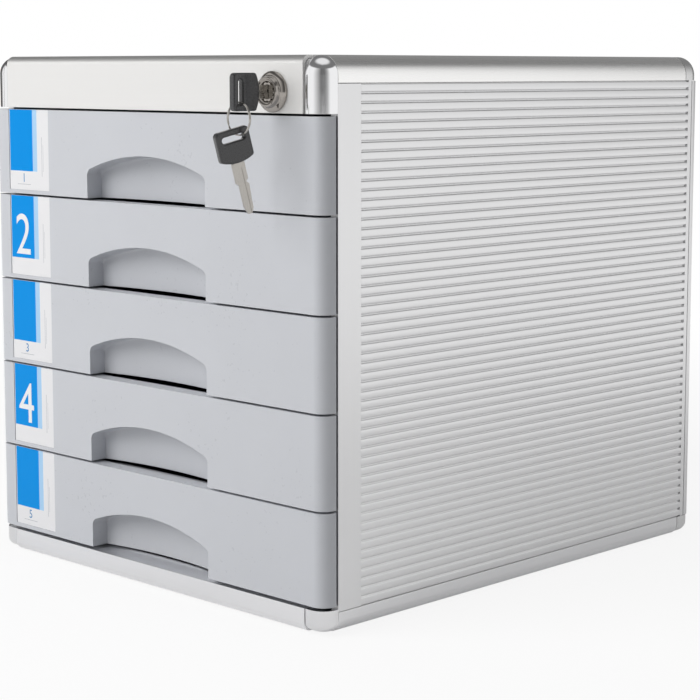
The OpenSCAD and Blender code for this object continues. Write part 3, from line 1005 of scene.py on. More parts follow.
class Builder:
    """A Geometry Nodes tree with named inputs, run on one object and frozen."""

    def __init__(self, name: str, inputs: dict[str, str]) -> None:
        """Makes the tree.

        Args:
            name: Name of the tree.
            inputs: Socket types by the inputs' names.
        """
        tree = bpy.data.node_groups.new(name, "GeometryNodeTree")
        tree.interface.new_socket("Geometry", in_out="INPUT", socket_type="NodeSocketGeometry")
        self.identifiers = {
            key: tree.interface.new_socket(key, in_out="INPUT", socket_type=kind).identifier
            for key, kind in {**inputs, "Finish": "NodeSocketMaterial"}.items()
        }
        tree.interface.new_socket("Geometry", in_out="OUTPUT", socket_type="NodeSocketGeometry")
        self.nodes = Nodes(tree)
        self.start = self.nodes.node("NodeGroupInput")

    def get(self, key: str) -> Value:
        """One of the named inputs."""
        return Value(self.nodes, self.start.outputs[key])

    def close(self, geometry: bpy.types.NodeSocket) -> None:
        """Ends the tree in Realize Instances and Set Material.

        Args:
            geometry: What the tree has built.
        """
        real = self.nodes.node("GeometryNodeRealizeInstances", None, {0: geometry})
        coat = {"Geometry": real.outputs[0], "Material": self.get("Finish")}
        coated = self.nodes.node("GeometryNodeSetMaterial", None, coat)
        self.nodes.node("NodeGroupOutput", None, {0: coated.outputs[0]})

    def run(self, host: bpy.types.Object, finish: Finish, **values: Any) -> bpy.types.Object:
        """Runs the tree on an object and leaves a plain mesh.

        Args:
            host: The object that carries the tree.
            finish: Material of the result.
            **values: Values of the named inputs.

        Returns:
            The host with its new mesh.
        """
        modifier = host.modifiers.new("builder", "NODES")
        modifier.node_group = self.nodes.tree
        for key, value in values.items():
            modifier[self.identifiers[key]] = value
        modifier[self.identifiers["Finish"]] = finish.material()
        return freeze(host)


def places_host(name: str, places: Iterable[Sequence[float]] = ((0, 0, 0),)) -> bpy.types.Object:
    """Makes an object for a tree to work on.

    Args:
        name: Name of the object.
        places: Places of its loose points in millimetres.

    Returns:
        The object.
    """
    data = bpy.data.meshes.new(name)
    data.from_pydata([tuple(c * MM for c in p) for p in places], [], [])
    return stand(name, data)


def repeat_builder() -> Builder:
    """A tree that sets a template on each point of its host, turned alike.

    Returns:
        The builder, whose inputs are the template and its turn in radians.
    """
    builder = Builder("repeat_on_points", {"Template": "NodeSocketObject", "Turn": "NodeSocketRotation"})
    nodes = builder.nodes
    template = nodes.node("GeometryNodeObjectInfo", None, {"Object": builder.get("Template")})
    copies = nodes.node(
        "GeometryNodeInstanceOnPoints",
        None,
        {
            "Points": builder.start.outputs["Geometry"],
            "Instance": template.outputs["Geometry"],
            "Rotation": builder.get("Turn"),
        },
    )
    builder.close(copies.outputs[0])
    return builder


def repeat(
    builder: Builder,
    name: str,
    template: bpy.types.Object,
    places: Iterable[Sequence[float]],
    turn: Sequence[float],
    finish: Finish,
) -> bpy.types.Object:
    """Repeats a template and deletes it.

    Args:
        builder: The tree of repeat_builder.
        name: Name of the new piece.
        template: Object whose mesh is repeated.
        places: Places in millimetres.
        turn: Angles about X, Y and Z in degrees.
        finish: Material of the copies.

    Returns:
        The piece.
    """
    angles = [math.radians(a) for a in turn]
    piece = builder.run(places_host(name, places), finish, Template=template, Turn=angles)
    bpy.data.objects.remove(template)
    return smooth(piece)


def rib_builder() -> Builder:
    """A tree for a ribbed sheet: crowned ribs side by side, with a groove between each two.

    A rib is a grid of three stretches: its two ends and the long one between them. The end towards
    the back of the cabinet, at high X, is a little shorter, and the groove is cut deeper there.

    Returns:
        The builder, whose inputs are lengths in metres and the number of ribs.
    """
    sizes = ("Length", "Pitch", "Crown", "Depth", "Groove", "End")
    builder = Builder("ribbed_sheet", {**{s: "NodeSocketFloat" for s in sizes}, "Count": "NodeSocketInt"})
    nodes = builder.nodes
    length, pitch, crown, depth, groove, end = (builder.get(s) for s in sizes)
    rows, columns = 20, 4
    back_shorter, pit_from, pit_deeper = 0.15, 0.9, 1.3
    grid = nodes.node(
        "GeometryNodeMeshGrid",
        None,
        {"Size X": length, "Size Y": pitch, "Vertices X": columns, "Vertices Y": rows},
    )
    x, y, _ = nodes.split(nodes.node("GeometryNodeInputPosition").outputs[0])
    inner = abs(x) < length / 3
    near_end = length / 2 - end + (x > 0.0) * end * back_shorter
    along = x * (1 - inner) + near_end * inner
    half = pitch / 2
    land = half - groove / 2
    share = abs(y) / half
    in_groove = (abs(y) - land) / (groove / 2)
    sunk = nodes.math("MAXIMUM", in_groove, 0.0)
    pit = along > length / 2 - end * pit_from
    drop = crown * share * share * (1 - sunk) + depth * (1 + pit * pit_deeper) * sunk
    place = nodes.node("ShaderNodeCombineXYZ", None, {0: along, 1: y, 2: -drop})
    move = {"Geometry": grid.outputs[0], "Position": place.outputs[0]}
    rib = nodes.node("GeometryNodeSetPosition", None, move)
    step = nodes.node("ShaderNodeCombineXYZ", None, {1: pitch})
    row = {"Count": builder.get("Count"), "Offset": step.outputs[0]}
    line = nodes.node("GeometryNodeMeshLine", {"mode": "OFFSET"}, row)
    copies = {"Points": line.outputs[0], "Instance": rib.outputs[0]}
    builder.close(nodes.node("GeometryNodeInstanceOnPoints", None, copies).outputs[0])
    return builder


def ring_builder() -> Builder:
    """A tree for a split ring: two turns of wire side by side that change places over a short stretch.

    Returns:
        The builder, whose inputs are lengths in metres.
    """
    sizes = ("Radius", "Wire", "Width")
    builder = Builder("split_ring", {s: "NodeSocketFloat" for s in sizes})
    nodes = builder.nodes
    radius, wire, width = (builder.get(s) for s in sizes)
    wire_turns, crossing_from, crossing_to = 1.97, 0.44, 0.56
    steps_per_turn, wire_sides = 72, 12
    spiral = nodes.node(
        "GeometryNodeCurveSpiral",
        None,
        {
            "Resolution": steps_per_turn,
            "Rotations": wire_turns,
            "Start Radius": radius,
            "End Radius": radius,
            "Height": 0.0,
        },
    )
    share = Value(nodes, nodes.node("GeometryNodeSplineParameter").outputs["Factor"])
    aside = (share.ramp(crossing_from, crossing_to) - 0.5) * width
    shift = nodes.node("ShaderNodeCombineXYZ", None, {2: aside})
    move = {"Geometry": spiral.outputs[0], "Offset": shift.outputs[0]}
    path = nodes.node("GeometryNodeSetPosition", None, move)
    circle = {"Resolution": wire_sides, "Radius": wire / 2}
    section = nodes.node("GeometryNodeCurvePrimitiveCircle", {"mode": "RADIUS"}, circle)
    sweep = {"Curve": path.outputs[0], "Profile Curve": section.outputs[0], "Fill Caps": True}
    builder.close(nodes.node("GeometryNodeCurveToMesh", None, sweep).outputs[0])
    return builder


# ---------------------------------------------------------------- the cabinet's frame


@dataclass
class Extrusions:
    """The hollow profiles along the top and the base, and the header."""

    wall: float = 1.8
    rail_r: float = 12.0
    back_r: float = 9.0
    base_r: float = 7.0
    header_r: float = 5.0
    header_wall: float = 2.5
    header_top: float = 2.0
    header_lip: float = 10.0
    barrel_r: float = 8.0
    bore_back: float = 6.0
    bore_l: float = 12.0
    seam: float = 0.25
    easing: float = 0.3

    def hollow(self, node: str, axis: Axis, radius: float, flip: tuple[int, int]) -> bpy.types.Object:
        """A hollow profile with one rounded corner.

        Args:
            node: The CAD node whose box it fills.
            axis: The way it runs.
            radius: Radius of the rounded corner.
            flip: Signs of the outline's two directions towards that corner.

        Returns:
            The piece.
        """
        span = Span.of(node)
        across = [a for a in range(3) if a != axis.value]
        low, high = zip(*(sorted((s * span.low[a], s * span.high[a])) for a, s in zip(across, flip)))
        wall = self.wall
        outlines = (
            rounded_corner(low, high, radius),
            rounded_corner((low[0] + wall, low[1] + wall), (high[0] - wall, high[1] - wall), radius - wall),
        )
        outer, inner = ([(u * flip[0], v * flip[1]) for u, v in o] for o in outlines)
        start, end = span.low[axis.value] + self.seam, span.high[axis.value] - self.seam
        shape = tube(outer, inner, axis, start, end)
        return smooth(ease(shape.piece(node + "_profile"), self.easing))

    def header(self, lock: Vector) -> bpy.types.Object:
        """The beam over the drawers.

        Args:
            lock: Where the lock's axis crosses the front face.

        Returns:
            A C-shaped profile with the lock's hole.
        """
        span = Span.of("header")
        front, back = span.low.y, span.high.y
        low, high = span.low.z, span.high.z
        inner_r = self.header_r - self.header_top
        inside = front + self.header_wall
        outline = [
            (front, low),
            (front + self.header_lip, low),
            (front + self.header_lip, low + self.wall),
            (inside, low + self.wall),
            *arc((inside + inner_r, high - self.header_top - inner_r), inner_r, 180, 90, 6),
            (back, high - self.header_top),
            (back, high),
            *arc((front + self.header_r, high - self.header_r), self.header_r, 90, 180, 10),
        ]
        start, end = span.low.x + self.seam, span.high.x - self.seam
        piece = prism(outline, Axis.X, start, end).piece("header_profile")
        ease(piece, self.easing)
        bore = lathe([(0, 0), (self.barrel_r, 0), (self.barrel_r, self.bore_l), (0, self.bore_l)], 64)
        lay = Matrix.Rotation(math.radians(90), 4, "X")
        bore.moved(Matrix.Translation((lock.x, front + self.bore_back, lock.z)) @ lay)
        return smooth(carve(piece, bore))

    def build(self, lock: Vector) -> None:
        """Builds and dresses the profiles.

        Args:
            lock: Where the lock's axis crosses the front face.
        """
        deliver(self.header(lock), PROFILE_ALONG_X, "root", "warm_aluminium", "header")
        for side in Side:
            node = f"top_rail_{side.word}"
            rail = self.hollow(node, Axis.Y, self.rail_r, (side.value, 1))
            deliver(rail, PROFILE_ALONG_Y, "root", "warm_aluminium", node)
            node = f"base_rail_{side.word}"
            rail = self.hollow(node, Axis.Y, self.base_r, (side.value, -1))
            # The side base rails take the darker tint of the base aluminium: painted shade.
            deliver(rail, BASE_ALONG_Y_SHADED, "root", "satin_aluminium", node)
        rail = self.hollow("top_rail_back", Axis.X, self.back_r, (1, 1))
        deliver(rail, PROFILE_ALONG_X, "root", "warm_aluminium", "top_rail_back")
        rail = self.hollow("base_rail_back", Axis.X, self.base_r, (1, -1))
        deliver(rail, BASE_ALONG_X, "root", "satin_aluminium", "base_rail_back")


@dataclass
class PlainMetal:
    """Pieces whose CAD shape is right and only wants its edges eased.

    The back posts get a wider rounding on their outer edge. Their wall follows it inside, and
    starts `wall_in` behind the outer face.
    """

    easing: float = 0.35
    seam: float = 0.25
    back_edge_r: float = 7.5
    wall: float = 1.8
    wall_in: float = 0.3
    pieces: tuple[tuple[str, Finish, str, Axis | None], ...] = (
        ("base_front", BASE_ALONG_X, "satin_aluminium", Axis.X),
        ("base_pan", SHEET, "satin_aluminium", None),
        ("front_post_left", POST_UPRIGHT, "satin_aluminium", Axis.Z),
        ("front_post_right", POST_UPRIGHT, "satin_aluminium", Axis.Z),
        ("back_post_left", POST_UPRIGHT, "satin_aluminium", Axis.Z),
        ("back_post_right", POST_UPRIGHT, "satin_aluminium", Axis.Z),
        ("top_panel", SHEET, "warm_aluminium", None),
        ("back_panel", SHEET, "satin_aluminium", None),
        ("guide_left", GUIDE_PLASTIC, "guide_plastic", None),
        ("guide_right", GUIDE_PLASTIC, "guide_plastic", None),
        ("lock_nut", STEEL_UPRIGHT, "bright_steel", None),
    )

    def build(self) -> None:
        """Builds and dresses them. A piece with an axis leaves a thin seam at both its ends."""
        for node, finish, slot, axis in self.pieces:
            piece = cad_copy(node, node + "_eased")
            if node.startswith("back_post"):
                self.round_back(piece, Side[node.rsplit("_", 1)[1].upper()])
            if axis:
                self.shorten(piece, axis)
            deliver(smooth(ease(piece, self.easing)), finish, "root", slot, node)

    def round_back(self, piece: bpy.types.Object, side: Side) -> None:
        """Gives a back post its wider rounding.

        Args:
            piece: The post.
            side: The side of the cabinet that it stands at.
        """
        span = Span.of(f"back_post_{side.word}")
        outer, back = max(abs(span.low.x), abs(span.high.x)), span.high.y
        radius = self.back_edge_r
        centre = (outer - radius, back - radius)
        wall = [*arc(centre, radius - self.wall_in, 0, 90, 10), *arc(centre, radius - self.wall, 90, 0, 10)]
        corner = [(outer + BEYOND, centre[1]), (outer + BEYOND, back + BEYOND), (centre[0], back + BEYOND)]
        corner += arc(centre, radius, 90, 0, 12)
        for outline, carving, over in ((wall, Carving.JOIN, 0.0), (corner, Carving.CUT, BEYOND)):
            flat = [(x * side.value, y) for x, y in outline]
            carve(piece, prism(flat, Axis.Z, span.low.z - over, span.high.z + over), carving)

    def shorten(self, piece: bpy.types.Object, axis: Axis) -> None:
        """Draws both end faces of a piece in by a seam.

        Args:
            piece: The piece.
            axis: The way it runs.
        """
        places = [v.co[axis.value] for v in piece.data.vertices]
        middle = (min(places) + max(places)) / 2
        reach = (max(places) - min(places)) / 2 - self.seam * MM
        for vertex in piece.data.vertices:
            away = vertex.co[axis.value] - middle
            vertex.co[axis.value] = middle + max(-reach, min(reach, away))


@dataclass
class GroovedPanels:
    """The two side panels, ribbed along the cabinet's depth."""

    count: int = 55
    crown: float = 0.22
    depth: float = 0.7
    groove: float = 1.7
    end: float = 2.2
    seam: float = 0.02
    merging: float = 0.02
    sharp_over: float = 75.0

    def build(self) -> None:
        """Builds each sheet as ribs and gives it a flat back."""
        builder = rib_builder()
        for side in Side:
            node = f"side_panel_{side.word}"
            span = Span.of(node)
            pitch = (span.size.z - 2 * self.seam) / self.count
            sheet = builder.run(
                places_host(node + "_ribs"),
                PANEL_SKIN,
                Length=span.size.y * MM,
                Pitch=pitch * MM,
                Crown=self.crown * MM,
                Depth=self.depth * MM,
                Groove=self.groove * MM,
                End=self.end * MM,
                Count=self.count,
            )
            self.stand_up(sheet, span, side, pitch)
            deliver(smooth(sheet, self.sharp_over), PANEL_SKIN, "root", "satin_aluminium", node)

    def stand_up(self, sheet: bpy.types.Object, span: Span, side: Side, pitch: float) -> None:
        """Stands the flat sheet upright at its side, merges its ribs and closes it with a flat back.

        Args:
            sheet: The sheet, lying on X and Y with its face up.
            span: The box of the CAD panel.
            side: The side that it faces.
            pitch: Height of a rib.
        """
        outer, inner = (span.high.x, span.low.x) if side is Side.RIGHT else (span.low.x, span.high.x)
        upright = Matrix(((0, 0, side.value, 0), (1, 0, 0, 0), (0, 1, 0, 0), (0, 0, 0, 1)))
        corner = Vector((outer, span.middle.y, span.low.z + self.seam + pitch / 2)) * MM
        shape = bmesh.new()
        shape.from_mesh(sheet.data)
        shape.transform(Matrix.Translation(corner) @ upright)
        bmesh.ops.remove_doubles(shape, verts=shape.verts, dist=self.merging * MM)
        rim = [e for e in shape.edges if e.is_boundary]
        drawn = bmesh.ops.extrude_edge_only(shape, edges=rim)["geom"]
        for vertex in (g for g in drawn if isinstance(g, bmesh.types.BMVert)):
            vertex.co.x = inner * MM
        back = [g for g in drawn if isinstance(g, bmesh.types.BMEdge)]
        bmesh.ops.contextual_create(shape, geom=back)
        bmesh.ops.recalc_face_normals(shape, faces=shape.faces)
        shape.to_mesh(sheet.data)
        shape.free()


@dataclass(frozen=True)
class CapForm:
    """How a corner cap is rounded: its radii towards X, Y and Z, and its pillow.

    The pillow says how far the cap swells from its inner end, and how deep it starts in Y and Z.
    """

    radii: Place
    pillow: Place


@dataclass
class CornerCaps:
    """The chromed caps at the front corners and the silver ones at the back."""

    front_top: CapForm = CapForm((12.0, 11.0, 11.0), (5.0, 1.5, 1.5))
    front_base: CapForm = CapForm((10.0, 10.0, 5.5), (2.0, 0.8, 0.8))
    back_top: CapForm = CapForm((12.0, 9.0, 12.0), (0.8, 0.4, 0.4))
    back_base: CapForm = CapForm((9.0, 9.0, 7.0), (0.8, 0.4, 0.4))
    steps: int = 9
    swell_steps: int = 8
    collar_in: Place = (2.6, 1.0, 2.1)
    collar_r: float = 3.0
    collar_l: float = 2.0
    easing: float = 0.35
    sharp_over: float = 60.0

    def corner(self, low: Vector, high: Vector, form: CapForm) -> Shape:
        """A box whose high corner and the three edges at it are rounded.

        Args:
            low: Its low corner.
            high: Its high corner.
            form: How it is rounded.

        Returns:
            The shape, a grid that is denser in its rounding.
        """
        radii, pillow = Vector(form.radii), form.pillow
        start = high - radii
        spread = [math.tan(math.radians(45 * i / self.steps)) for i in range(self.steps + 1)]
        lines = [[low[a], *(high[a] - radii[a] + radii[a] * t for t in spread)] for a in range(3)]
        swell = [math.radians(90 * i / self.swell_steps) for i in range(self.swell_steps + 1)]
        lines[0] = [*(low.x + pillow[0] * (1 - math.cos(t)) for t in swell), *lines[0][1:]]
        depths = [1 - math.sin(t) for t in swell]
        shape = Shape()
        made: dict[tuple[int, ...], bmesh.types.BMVert] = {}

        def vertex(index: tuple[int, ...]) -> bmesh.types.BMVert:
            """Makes a vertex of the grid, or finds it.

            Args:
                index: Its line along X, Y and Z.

            Returns:
                The vertex, drawn in to the rounding.
            """
            if index not in made:
                point = Vector(lines[a][i] for a, i in enumerate(index))
                over = Vector(max(0.0, (point[a] - start[a]) / radii[a]) for a in range(3))
                if over.length > 0:
                    over *= max(over) / over.length
                    point = Vector(
                        start[a] + over[a] * radii[a] if point[a] > start[a] else point[a] for a in range(3)
                    )
                depth = depths[index[0]] if index[0] < len(depths) else 0.0
                for a in (1, 2):
                    point[a] = low[a] + (point[a] - low[a]) * (1 - depth * pillow[a] / (high[a] - low[a]))
                made[index] = shape.mesh.verts.new(point)
            return made[index]

        for axis in range(3):
            u, v = [a for a in range(3) if a != axis]
            for end in (0, len(lines[axis]) - 1):
                for i, j in product(range(len(lines[u]) - 1), range(len(lines[v]) - 1)):
                    corners = []
                    for du, dv in ((0, 0), (1, 0), (1, 1), (0, 1)):
                        index = [0, 0, 0]
                        index[axis], index[u], index[v] = end, i + du, j + dv
                        corners.append(vertex(tuple(index)))
                    shape.mesh.faces.new(corners)
        return shape

    def cap(
        self, name: str, low: Sequence[float], high: Sequence[float], signs: Place, form: CapForm
    ) -> bpy.types.Object:
        """A cap between two corners of the frame, with its edges eased.

        Args:
            name: Name of the piece.
            low: Its one corner.
            high: The corner opposite.
            signs: Signs of X, Y and Z on the side where it is rounded.
            form: How it is rounded.

        Returns:
            The piece, not yet shaded smooth.
        """
        near, far = self.ends(low, high, signs)
        shape = self.corner(near, far, form).moved(Matrix.Diagonal((*signs, 1)))
        return ease(shape.piece(name), self.easing)

    @staticmethod
    def ends(low: Sequence[float], high: Sequence[float], signs: Place) -> Iterable[Vector]:
        """Two opposite corners, mirrored so that the rounded one is the high one."""
        return map(Vector, zip(*(sorted((a * s, b * s)) for a, b, s in zip(low, high, signs))))

    def add_collar(
        self, piece: bpy.types.Object, low: Sequence[float], high: Sequence[float], signs: Place
    ) -> None:
        """Lets a cap reach a little into the hollow of the beam beside it.

        Args:
            piece: The cap.
            low: Its one corner.
            high: The corner opposite.
            signs: Signs of X, Y and Z on the side where it is rounded.
        """
        near, far = self.ends(low, high, signs)
        front, back, level = self.collar_in
        outline = rounded_corner(
            (near.y + back, near.z + level), (far.y - front, far.z - level), self.collar_r
        )
        plug = prism(outline, Axis.X, near.x - self.collar_l, near.x + self.collar_l)
        carve(piece, plug.moved(Matrix.Diagonal((*signs, 1))), Carving.JOIN)

    def build(self) -> None:
        """Builds the four front caps and the group of four back caps."""
        header = Span.of("header")
        inner, outer = header.high.x, Span.of("side_panel_right").high.x
        front, back = Span.of("drawer_front_1").low.y, Span.of("front_post_right").low.y
        base_low, base_high = Span.of("base_front").low.z, Span.of("cap_base_right").high.z
        levels = (
            ("top", 1, header.low.z, header.high.z, self.front_top),
            ("base", -1, base_low, base_high, self.front_base),
        )
        for side, (level, up, bottom, top, form) in product(Side, levels):
            node = f"cap_{level}_{side.word}"
            signs = (side.value, -1, up)
            corners = (inner * side.value, front, bottom), (outer * side.value, back, top)
            piece = self.cap(f"{node}_chrome", *corners, signs, form)
            if level == "top":
                self.add_collar(piece, *corners, signs)
            deliver(smooth(piece, self.sharp_over), CHROME, "root", "chromed_trim", node)
        self.build_back(inner, outer)

    def build_back(self, inner: float, outer: float) -> None:
        """Builds the back caps as one group.

        Args:
            inner: Distance of their inner ends from the middle.
            outer: Distance of their outer ends from the middle.
        """
        back, rail, base_rail = (Span.of(n) for n in ("back_caps", "top_rail_right", "base_rail_right"))
        levels = ((1, rail, self.back_top), (-1, base_rail, self.back_base))
        caps = []
        for side, (up, span, form) in product(Side, levels):
            low = (inner * side.value, rail.high.y, span.low.z)
            high = (outer * side.value, back.high.y, span.high.z)
            cap = self.cap("back_caps_grey", low, high, (side.value, 1, up), form)
            caps.append(smooth(cap, self.sharp_over))
        deliver(joined(caps), SILVER_CAP, "root", "grey_cap", "back_caps")


# ---------------------------------------------------------------- drawers


@dataclass(frozen=True)
class CardLayout:
    """What is printed on a card, in millimetres from its lower left corner."""

    blue_low: float
    footer: bool
    number_height: float
    number_at: Point
    ink: Finish


class CardStyle(Enum):
    """The two kinds of card: one with a large white number, one with a small blue number."""

    LARGE = CardLayout(11.0, False, 26.0, (13.0, 13.5), INK_WHITE)
    SMALL = CardLayout(12.0, True, 5.5, (15.0, 5.0), INK_BLUE)


@dataclass
class DrawerFronts:
    """Five alike fronts with an arched finger recess, and the cards in their pockets."""

    corner_r: float = 8.0
    wrap: float = 10.2
    wall: float = 2.2
    rim_inset: float = 12.0
    recess_half: float = 55.0
    recess_side: float = 17.2
    recess_rise: float = 10.4
    recess_depth: float = 11.5
    recess_bow: float = 5.5
    recess_steps: int = 16
    roof_r: float = 2.5
    arch_fillet: float = 3.0
    easing: float = 0.9
    sharp_over: float = 40.0
    pocket: float = 1.0
    card_low: float = 2.5
    card_play: float = 0.2
    card_easing: float = 0.08
    number_layer: float = 0.06
    number_width: float = 0.92

    def swell(self, x: float, start: float, rise: float) -> float:
        """A shallow arc across the recess: start at its sides, and rise more in its middle."""
        radius = (self.recess_half**2 + rise**2) / (2 * rise)
        return start + rise - radius + math.sqrt(radius**2 - min(abs(x), self.recess_half) ** 2)

    def arch(self, x: float, grow: float) -> float:
        """Height of the recess, with its shoulders rounded.

        Args:
            x: Distance from its middle.
            grow: How much larger it is all round.

        Returns:
            The height.
        """
        height, fillet = self.swell(x, self.recess_side, self.recess_rise), self.arch_fillet
        from_end = self.recess_half + grow - abs(x)
        if from_end < fillet:
            height -= fillet - math.sqrt(fillet**2 - (fillet - from_end) ** 2)
        return height + grow

    def recess(self, front: float, bottom: float, grow: float = 0.0) -> Shape:
        """The recess as a solid.

        Args:
            front: Y of the front's face.
            bottom: Z of the front's lower edge.
            grow: How much larger it is all round.

        Returns:
            Sections across X, joined.
        """
        half, steps, roof = self.recess_half + grow, self.recess_steps, self.roof_r
        shoulder = [half - self.arch_fillet * (1 - math.cos(math.radians(a))) for a in range(0, 91, 10)]
        right = [*shoulder, *(shoulder[-1] * (1 - i / steps) for i in range(1, steps))]
        ahead, below = front - 2 * BEYOND, bottom - 2 * BEYOND
        shape = Shape()
        rings = []
        for x in (*(-x for x in right), 0.0, *reversed(right)):
            top = bottom + self.arch(x, grow)
            back = front + (self.swell(x, self.recess_depth, self.recess_bow) + grow)
            corner = arc((back - roof, top - roof), roof, 0, 90, 4)
            outline = [(ahead, below), (back, below), *corner, (ahead, top)]
            rings.append(shape.ring((x, y, z) for y, z in outline))
        shape.skin(rings)
        shape.face(rings[0])
        shape.face(rings[-1])
        return shape

    def hollow(self, low: Place, high: Place, recess: Shape) -> Shape:
        """The space inside a front.

        Args:
            low: Low corner of its box.
            high: High corner of its box.
            recess: The recess with its wall, which stays solid.

        Returns:
            The box less the recess.
        """
        box = carve(block(low, high).piece("front_hollow"), recess)
        shape = Shape()
        shape.mesh.from_mesh(box.data)
        bpy.data.objects.remove(box)
        return shape.moved(Matrix.Scale(1 / MM, 4))

    def build_front(self) -> bpy.types.Object:
        """Builds the front of the first drawer.

        Returns:
            Its plate, hollow behind, with the finger recess and the card's pocket.
        """
        span, card = Span.of("drawer_front_1"), Span.of("label_card_1")
        half, front, bottom, top = span.high.x, span.low.y, span.low.z, span.high.z
        wrap_y, radius, wall = front + self.wrap, self.corner_r, self.wall
        outline = [
            (half, wrap_y),
            (-half, wrap_y),
            *arc((-half + radius, front + radius), radius, 180, 270, 10),
            *arc((half - radius, front + radius), radius, 270, 360, 10),
        ]
        piece = prism(outline, Axis.Z, bottom, top).piece("front_plate_1")
        carve(piece, self.recess(front, bottom))
        ease(piece, self.easing, 3)
        rim_x, rim_low, rim_high = half - self.rim_inset, bottom + wall, top - wall
        rim = block((-rim_x, wrap_y - BEYOND, rim_low), (rim_x, span.high.y, rim_high))
        carve(piece, rim, Carving.JOIN)
        lip_x = self.recess_half + wall
        lip_y = front + self.recess_depth + self.recess_bow + wall
        lip = block((-lip_x, wrap_y - BEYOND, bottom), (lip_x, lip_y, rim_low + BEYOND))
        carve(piece, lip, Carving.JOIN)
        low = (-rim_x + wall, wrap_y - 2 * wall, rim_low + wall)
        high = (rim_x - wall, span.high.y + BEYOND, rim_high - wall)
        carve(piece, self.hollow(low, high, self.recess(front, bottom, wall)))
        carve(piece, self.recess(front, bottom))
        pocket = block(
            (card.low.x - self.card_play, front - BEYOND, bottom + self.card_low),
            (card.high.x + self.card_play, front + self.pocket, top + BEYOND),
        )
        return smooth(carve(piece, pocket), self.sharp_over)

    def build(self) -> None:
        """Builds the five fronts, their cards and numbers."""
        plates = {1: self.build_front()}
        start = Span.of("drawer_front_1").low.z
        for n in DRAWERS[1:]:
            plates[n] = stand(f"front_plate_{n}", plates[1].data.copy())
            drop = (Span.of(f"drawer_front_{n}").low.z - start) * MM
            plates[n].data.transform(Matrix.Translation((0, 0, drop)))
        for n, plate in plates.items():
            deliver(plate, FRONT_PLASTIC, f"drawer_{n}", "front_plastic", f"drawer_front_{n}")
            self.build_card(n)

    def build_card(self, drawer: int) -> None:
        """Builds a card with the drawer's number printed on it.

        Args:
            drawer: The drawer. Even ones get the large number.
        """
        layout = (CardStyle.SMALL if drawer % 2 else CardStyle.LARGE).value
        name, body, span = f"card_{drawer}", f"drawer_{drawer}", Span.of(f"label_card_{drawer}")
        finish = PrintedCard(name, span.low.x, span.low.z, layout.blue_low, layout.footer)
        card = smooth(ease(block(span.low, span.high).piece(name), self.card_easing))
        deliver(card, finish, body, "label_card", f"label_card_{drawer}")
        foot = (span.low.x + layout.number_at[0], span.low.z + layout.number_at[1])
        deliver(self.number(drawer, layout.number_height, foot, span.low.y), layout.ink, body, "label_card")

    def number(self, number: int, height: float, foot: Point, face_y: float) -> bpy.types.Object:
        """A plain number as a thin layer on a card.

        Args:
            number: The number.
            height: Its height in millimetres.
            foot: X of its middle and Z of its foot.
            face_y: Y of the card's face.

        Returns:
            The piece.
        """
        curve = bpy.data.curves.new(f"number_{number}", "FONT")
        curve.body = str(number)
        curve.align_x = "CENTER"
        curve.extrude = 0.02
        letter = stand(f"number_{number}_curve", curve)
        data = evaluated(letter)
        bpy.data.objects.remove(letter)
        shape = bmesh.new()
        shape.from_mesh(data)
        bmesh.ops.remove_doubles(shape, verts=shape.verts, dist=1e-5)
        heights = [v.co.y for v in shape.verts]
        base, scale = min(heights), height / (max(heights) - min(heights))
        for vertex in shape.verts:
            x, y, z = vertex.co
            depth = face_y - (self.number_layer if z > 0 else -self.number_layer)
            vertex.co = (
                Vector((foot[0] + x * scale * self.number_width, depth, foot[1] + (y - base) * scale)) * MM
            )
        bmesh.ops.recalc_face_normals(shape, faces=shape.faces)
        shape.to_mesh(data)
        shape.free()
        return stand(f"number_{number}", data)


@dataclass
class Trays:
    """The five trays behind the fronts."""

    easing: float = 0.5

    def build(self) -> None:
        """Eases and dresses each tray."""
        for n in DRAWERS:
            node = f"drawer_tray_{n}"
            tray = eased_copy(node, f"tray_{n}", self.easing)
            deliver(tray, TRAY_PLASTIC, f"drawer_{n}", "tray_plastic", node)


# ---------------------------------------------------------------- fasteners and feet


